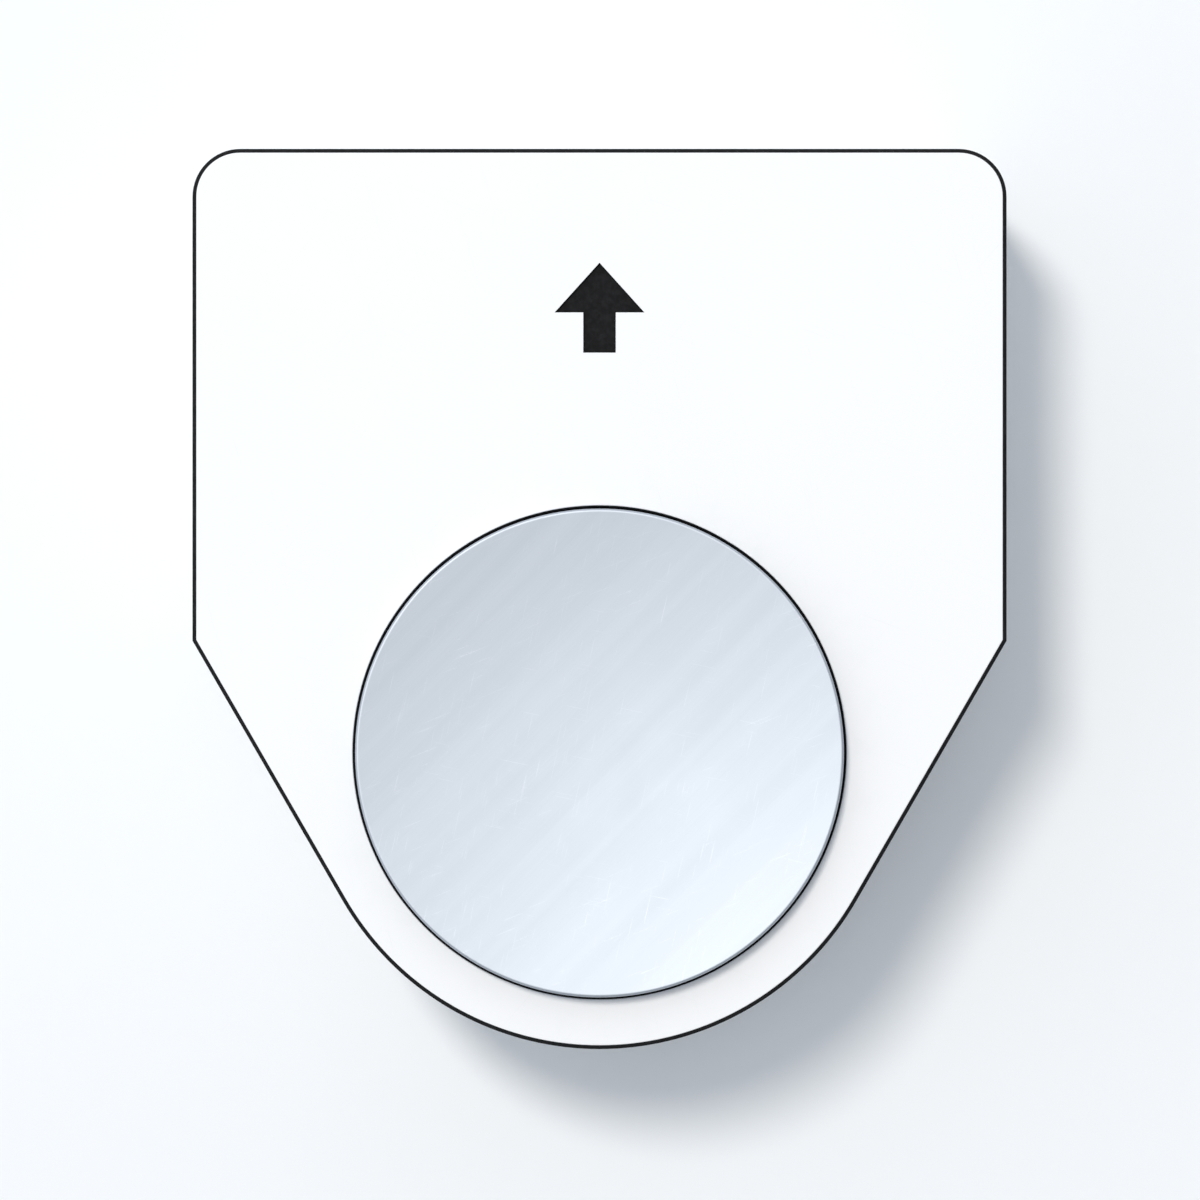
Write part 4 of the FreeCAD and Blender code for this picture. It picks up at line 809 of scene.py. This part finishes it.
def insideOutline(x, z):  # how far a point lies inside the face's outline
    x = abs(x)
    corner = faceSizes["corner"]
    if x > halfWidth - corner and z > topHeight - corner:
        return corner - math.hypot(x - halfWidth + corner, z - topHeight + corner)
    below = z < -x * math.tan(lean)
    lower = math.hypot(x, z) if below else x * math.cos(lean) - z * math.sin(lean)
    return min(halfWidth - x, topHeight - z, noseRadius - lower)


def roundedCasting(node, name, width):  # a merged copy of the CAD shape, freed from the CAD's own marks
    source = frame["nodes"][node]
    back, front = levelsOf(node)
    bpy.ops.object.select_all(action="DESELECT")
    source.select_set(True)
    bpy.context.view_layer.objects.active = source
    bpy.ops.object.duplicate()
    piece = bpy.context.object
    piece.name = name
    piece.data.name = name
    piece.parent = None
    for key in list(piece.keys()):
        del piece[key]
    bpy.ops.mesh.customdata_custom_splitnormals_clear()
    openEdit(piece)
    bpy.ops.mesh.select_all(action="SELECT")
    bpy.ops.mesh.remove_doubles(threshold=castingSizes["weld"])
    bpy.ops.mesh.dissolve_limited(angle_limit=math.radians(castingSizes["flatTurn"]))

    def onOutline(edge):
        if not all(insideOutline(v.co.x, v.co.z) < castingSizes["reach"] for v in edge.verts):
            return False
        first, second = edge.verts
        across = near(first.co.y, second.co.y)
        level = -first.co.y
        atEnd = near(level, front, 0.01 * mm) or near(level, back, 0.01 * mm)
        kink = not across and near(abs(first.co.x), abs(second.co.x)) and near(first.co.z, second.co.z)
        sharp = edge.calc_face_angle(0) > math.radians(castingSizes["kinkTurn"])
        return (across and atEnd) or (kink and sharp)

    pickEdges(onOutline)
    bpy.ops.transform.edge_bevelweight(value=1)
    closeEdit()
    bevel = piece.modifiers.new("Bevel", "BEVEL")
    bevel.width = width
    bevel.segments = castingSizes["segments"]
    bevel.limit_method = "WEIGHT"
    bpy.ops.object.modifier_apply(modifier=bevel.name)
    smooth(piece)
    return piece


housingPaint = paintMaterial("housingPowderCoat", paintLook, *levelsOf("front_housing"))
platePaint = paintMaterial("platePowderCoat", paintLook, *levelsOf("back_plate"))
finishPiece(roundedCasting("front_housing", "frontHousing", castingSizes["housingRound"]),
            "housing", housingPaint, "front_housing")
finishPiece(roundedCasting("back_plate", "backPlate", castingSizes["plateRound"]),
            "housing", platePaint, "back_plate")
print("castings ready")

# The CAD nodes that stay, each in its own finish.

nodesIn = {
    "stainless": ["button_stem", "thrust_washer", "guide_pin", "carrier_screws",
                  "terminal_screws", "terminal_clamps", "block_screws"],
    "springSteel": ["retaining_clip", "spring_washers"],
    "bareBrass": ["earth_washer", "earth_screw", "fixed_contact_right", "fixed_contact_left",
                  "contact_bridge"],
    "sinteredBronze": ["guide_bush"],
    "castAlloy": ["carrier"],
    "silverAlloy": ["fixed_tips", "bridge_tips"],
    "greyMoulding": ["contact_base", "contact_cover"],
    "greenMoulding": ["plunger"],
    "blackRubber": ["housing_gasket", "wiper_seal", "stop_ring"],
    "adhesiveFoam": ["adhesive_sheet"],
}
for finish, nodes in nodesIn.items():
    for node in nodes:
        for slot in frame["nodes"][node].material_slots:
            slot.material = finishes[finish]
print("kept nodes finished")

# The stage: a pale wall, a key light from the upper left, a lamp behind, a soft surround and a long lens.

stageLook = {
    "wall": (0.885, 0.90, 0.91), "wallDull": 0.995, "wallHalf": 3.0, "wallGap": 0.05 * mm,
    "openingInset": 1.8 * mm, "wallCloud": 30 * mm, "wallGrain": 0.8 * mm, "wallGrainDepth": 0.002 * mm,
    "wallRough": 0.85, "wallGloss": 0.2,
    "key": 33.0, "keyColour": (1.0, 0.962, 0.905), "keyPlace": (-0.50, -2.5, 0.68),
    "keyLong": 0.60, "keyShort": 0.34, "keyTurn": -53,
    "back": 60.0, "backColour": (1, 1, 1), "backPlace": (1.1, 2.0, 1.5),
    "backLong": 1.2, "backShort": 1.2, "backTurn": 0,
    "surround": 0.92, "surroundDim": 0.42, "surroundColour": (0.87, 0.925, 1.0),
    "dimSide": (0.62, 0.0, -0.78), "fadeFrom": -0.12, "fadeTo": 0.28, "backdrop": (0.86, 0.875, 0.89),
    "lens": 200, "sensor": 36, "field": 125.2 * mm, "aimX": 0.05 * mm, "aimZ": 15.9 * mm,
}


def makeWall(look):  # one-sided, and open behind the object, so that the back can be seen and is lit
    half, level = look["wallHalf"], -look["wallGap"]
    corners = [(half, -half), (half, half), (-half, half), (-half, -half)]
    wall = flat([drawLoop(level, (-half, -half), corners), shieldLoop(look["openingInset"], level)])
    wall.name = "wall"
    if wall.data.polygons[0].normal.y > 0:
        openEdit(wall, "FACE")
        bpy.ops.mesh.select_all(action="SELECT")
        bpy.ops.mesh.flip_normals()
        closeEdit()
    kit = Finish("paleWall")
    dull = tuple(look["wallDull"] * share for share in look["wall"])
    tone = kit.mix(kit.span(kit.noise(look["wallCloud"], 3), 0.3, 0.7), look["wall"], dull)
    grain = kit.bump(kit.noise(look["wallGrain"], 2), look["wallGrainDepth"])
    kit.done(tone, look["wallRough"], grain, gloss=look["wallGloss"])
    clear = kit.nodes.new("ShaderNodeBsdfTransparent")
    facing = kit.nodes.new("ShaderNodeNewGeometry")
    oneSided = kit.nodes.new("ShaderNodeMixShader")
    kit.links.new(facing.outputs["Backfacing"], oneSided.inputs[0])
    kit.links.new(kit.shader.outputs[0], oneSided.inputs[1])
    kit.links.new(clear.outputs[0], oneSided.inputs[2])
    kit.links.new(oneSided.outputs[0], kit.nodes["Material Output"].inputs["Surface"])
    wall.data.materials.append(kit.material)


def addLamp(name, look):  # the key light or the lamp behind, aimed at the object
    light = bpy.data.lights.new(name, "AREA")
    light.shape = "ELLIPSE"
    light.size, light.size_y = look[name + "Long"], look[name + "Short"]
    light.energy, light.color = look[name], look[name + "Colour"]
    lamp = bpy.data.objects.new(name, light)
    bpy.context.scene.collection.objects.link(lamp)
    lamp.location = look[name + "Place"]
    aim = (middleOf("legend_plate") - lamp.location).to_track_quat("-Z", "Y")
    lamp.rotation_euler = (aim @ Quaternion((0, 0, 1), math.radians(look[name + "Turn"]))).to_euler()


def makeSurround(look):  # a soft glow, dimmer at the lower right, that the camera sees as a pale backdrop
    world = bpy.data.worlds.new("surround")
    world.use_nodes = True
    nodes, links = world.node_tree.nodes, world.node_tree.links
    glow, output = nodes["Background"], nodes["World Output"]
    glow.inputs["Color"].default_value = (*look["surroundColour"], 1)
    side, fade = nodes.new("ShaderNodeVectorMath"), nodes.new("ShaderNodeMapRange")
    side.operation = "DOT_PRODUCT"
    side.inputs[1].default_value = look["dimSide"]
    fade.interpolation_type = "SMOOTHSTEP"
    ramp = {"From Min": "fadeFrom", "From Max": "fadeTo", "To Min": "surround", "To Max": "surroundDim"}
    for name, value in ramp.items():
        fade.inputs[name].default_value = look[value]
    links.new(nodes.new("ShaderNodeTexCoord").outputs["Generated"], side.inputs[0])
    links.new(side.outputs["Value"], fade.inputs["Value"])
    links.new(fade.outputs["Result"], glow.inputs["Strength"])
    backdrop = nodes.new("ShaderNodeBackground")
    backdrop.inputs["Color"].default_value = (*look["backdrop"], 1)
    path, either = nodes.new("ShaderNodeLightPath"), nodes.new("ShaderNodeMixShader")
    links.new(path.outputs["Is Camera Ray"], either.inputs[0])
    links.new(glow.outputs[0], either.inputs[1])
    links.new(backdrop.outputs[0], either.inputs[2])
    links.new(either.outputs[0], output.inputs["Surface"])
    bpy.context.scene.world = world


def makeCamera(look):
    lens = bpy.data.cameras.new("camera")
    lens.lens = look["lens"]
    lens.sensor_width = look["sensor"]
    camera = bpy.data.objects.new("camera", lens)
    bpy.context.scene.collection.objects.link(camera)
    away = look["field"] * lens.lens / lens.sensor_width
    camera.location = (look["aimX"], -faceFront - away, look["aimZ"])
    camera.rotation_euler = (math.pi / 2, 0, 0)
    bpy.context.scene.camera = camera
    bpy.context.scene.view_settings.view_transform = "Standard"
    bpy.context.scene.view_settings.look = "None"


def makeStage(look):
    makeCamera(look)
    makeWall(look)
    makeSurround(look)
    addLamp("key", look)
    addLamp("back", look)


makeStage(stageLook)
print("stage ready")
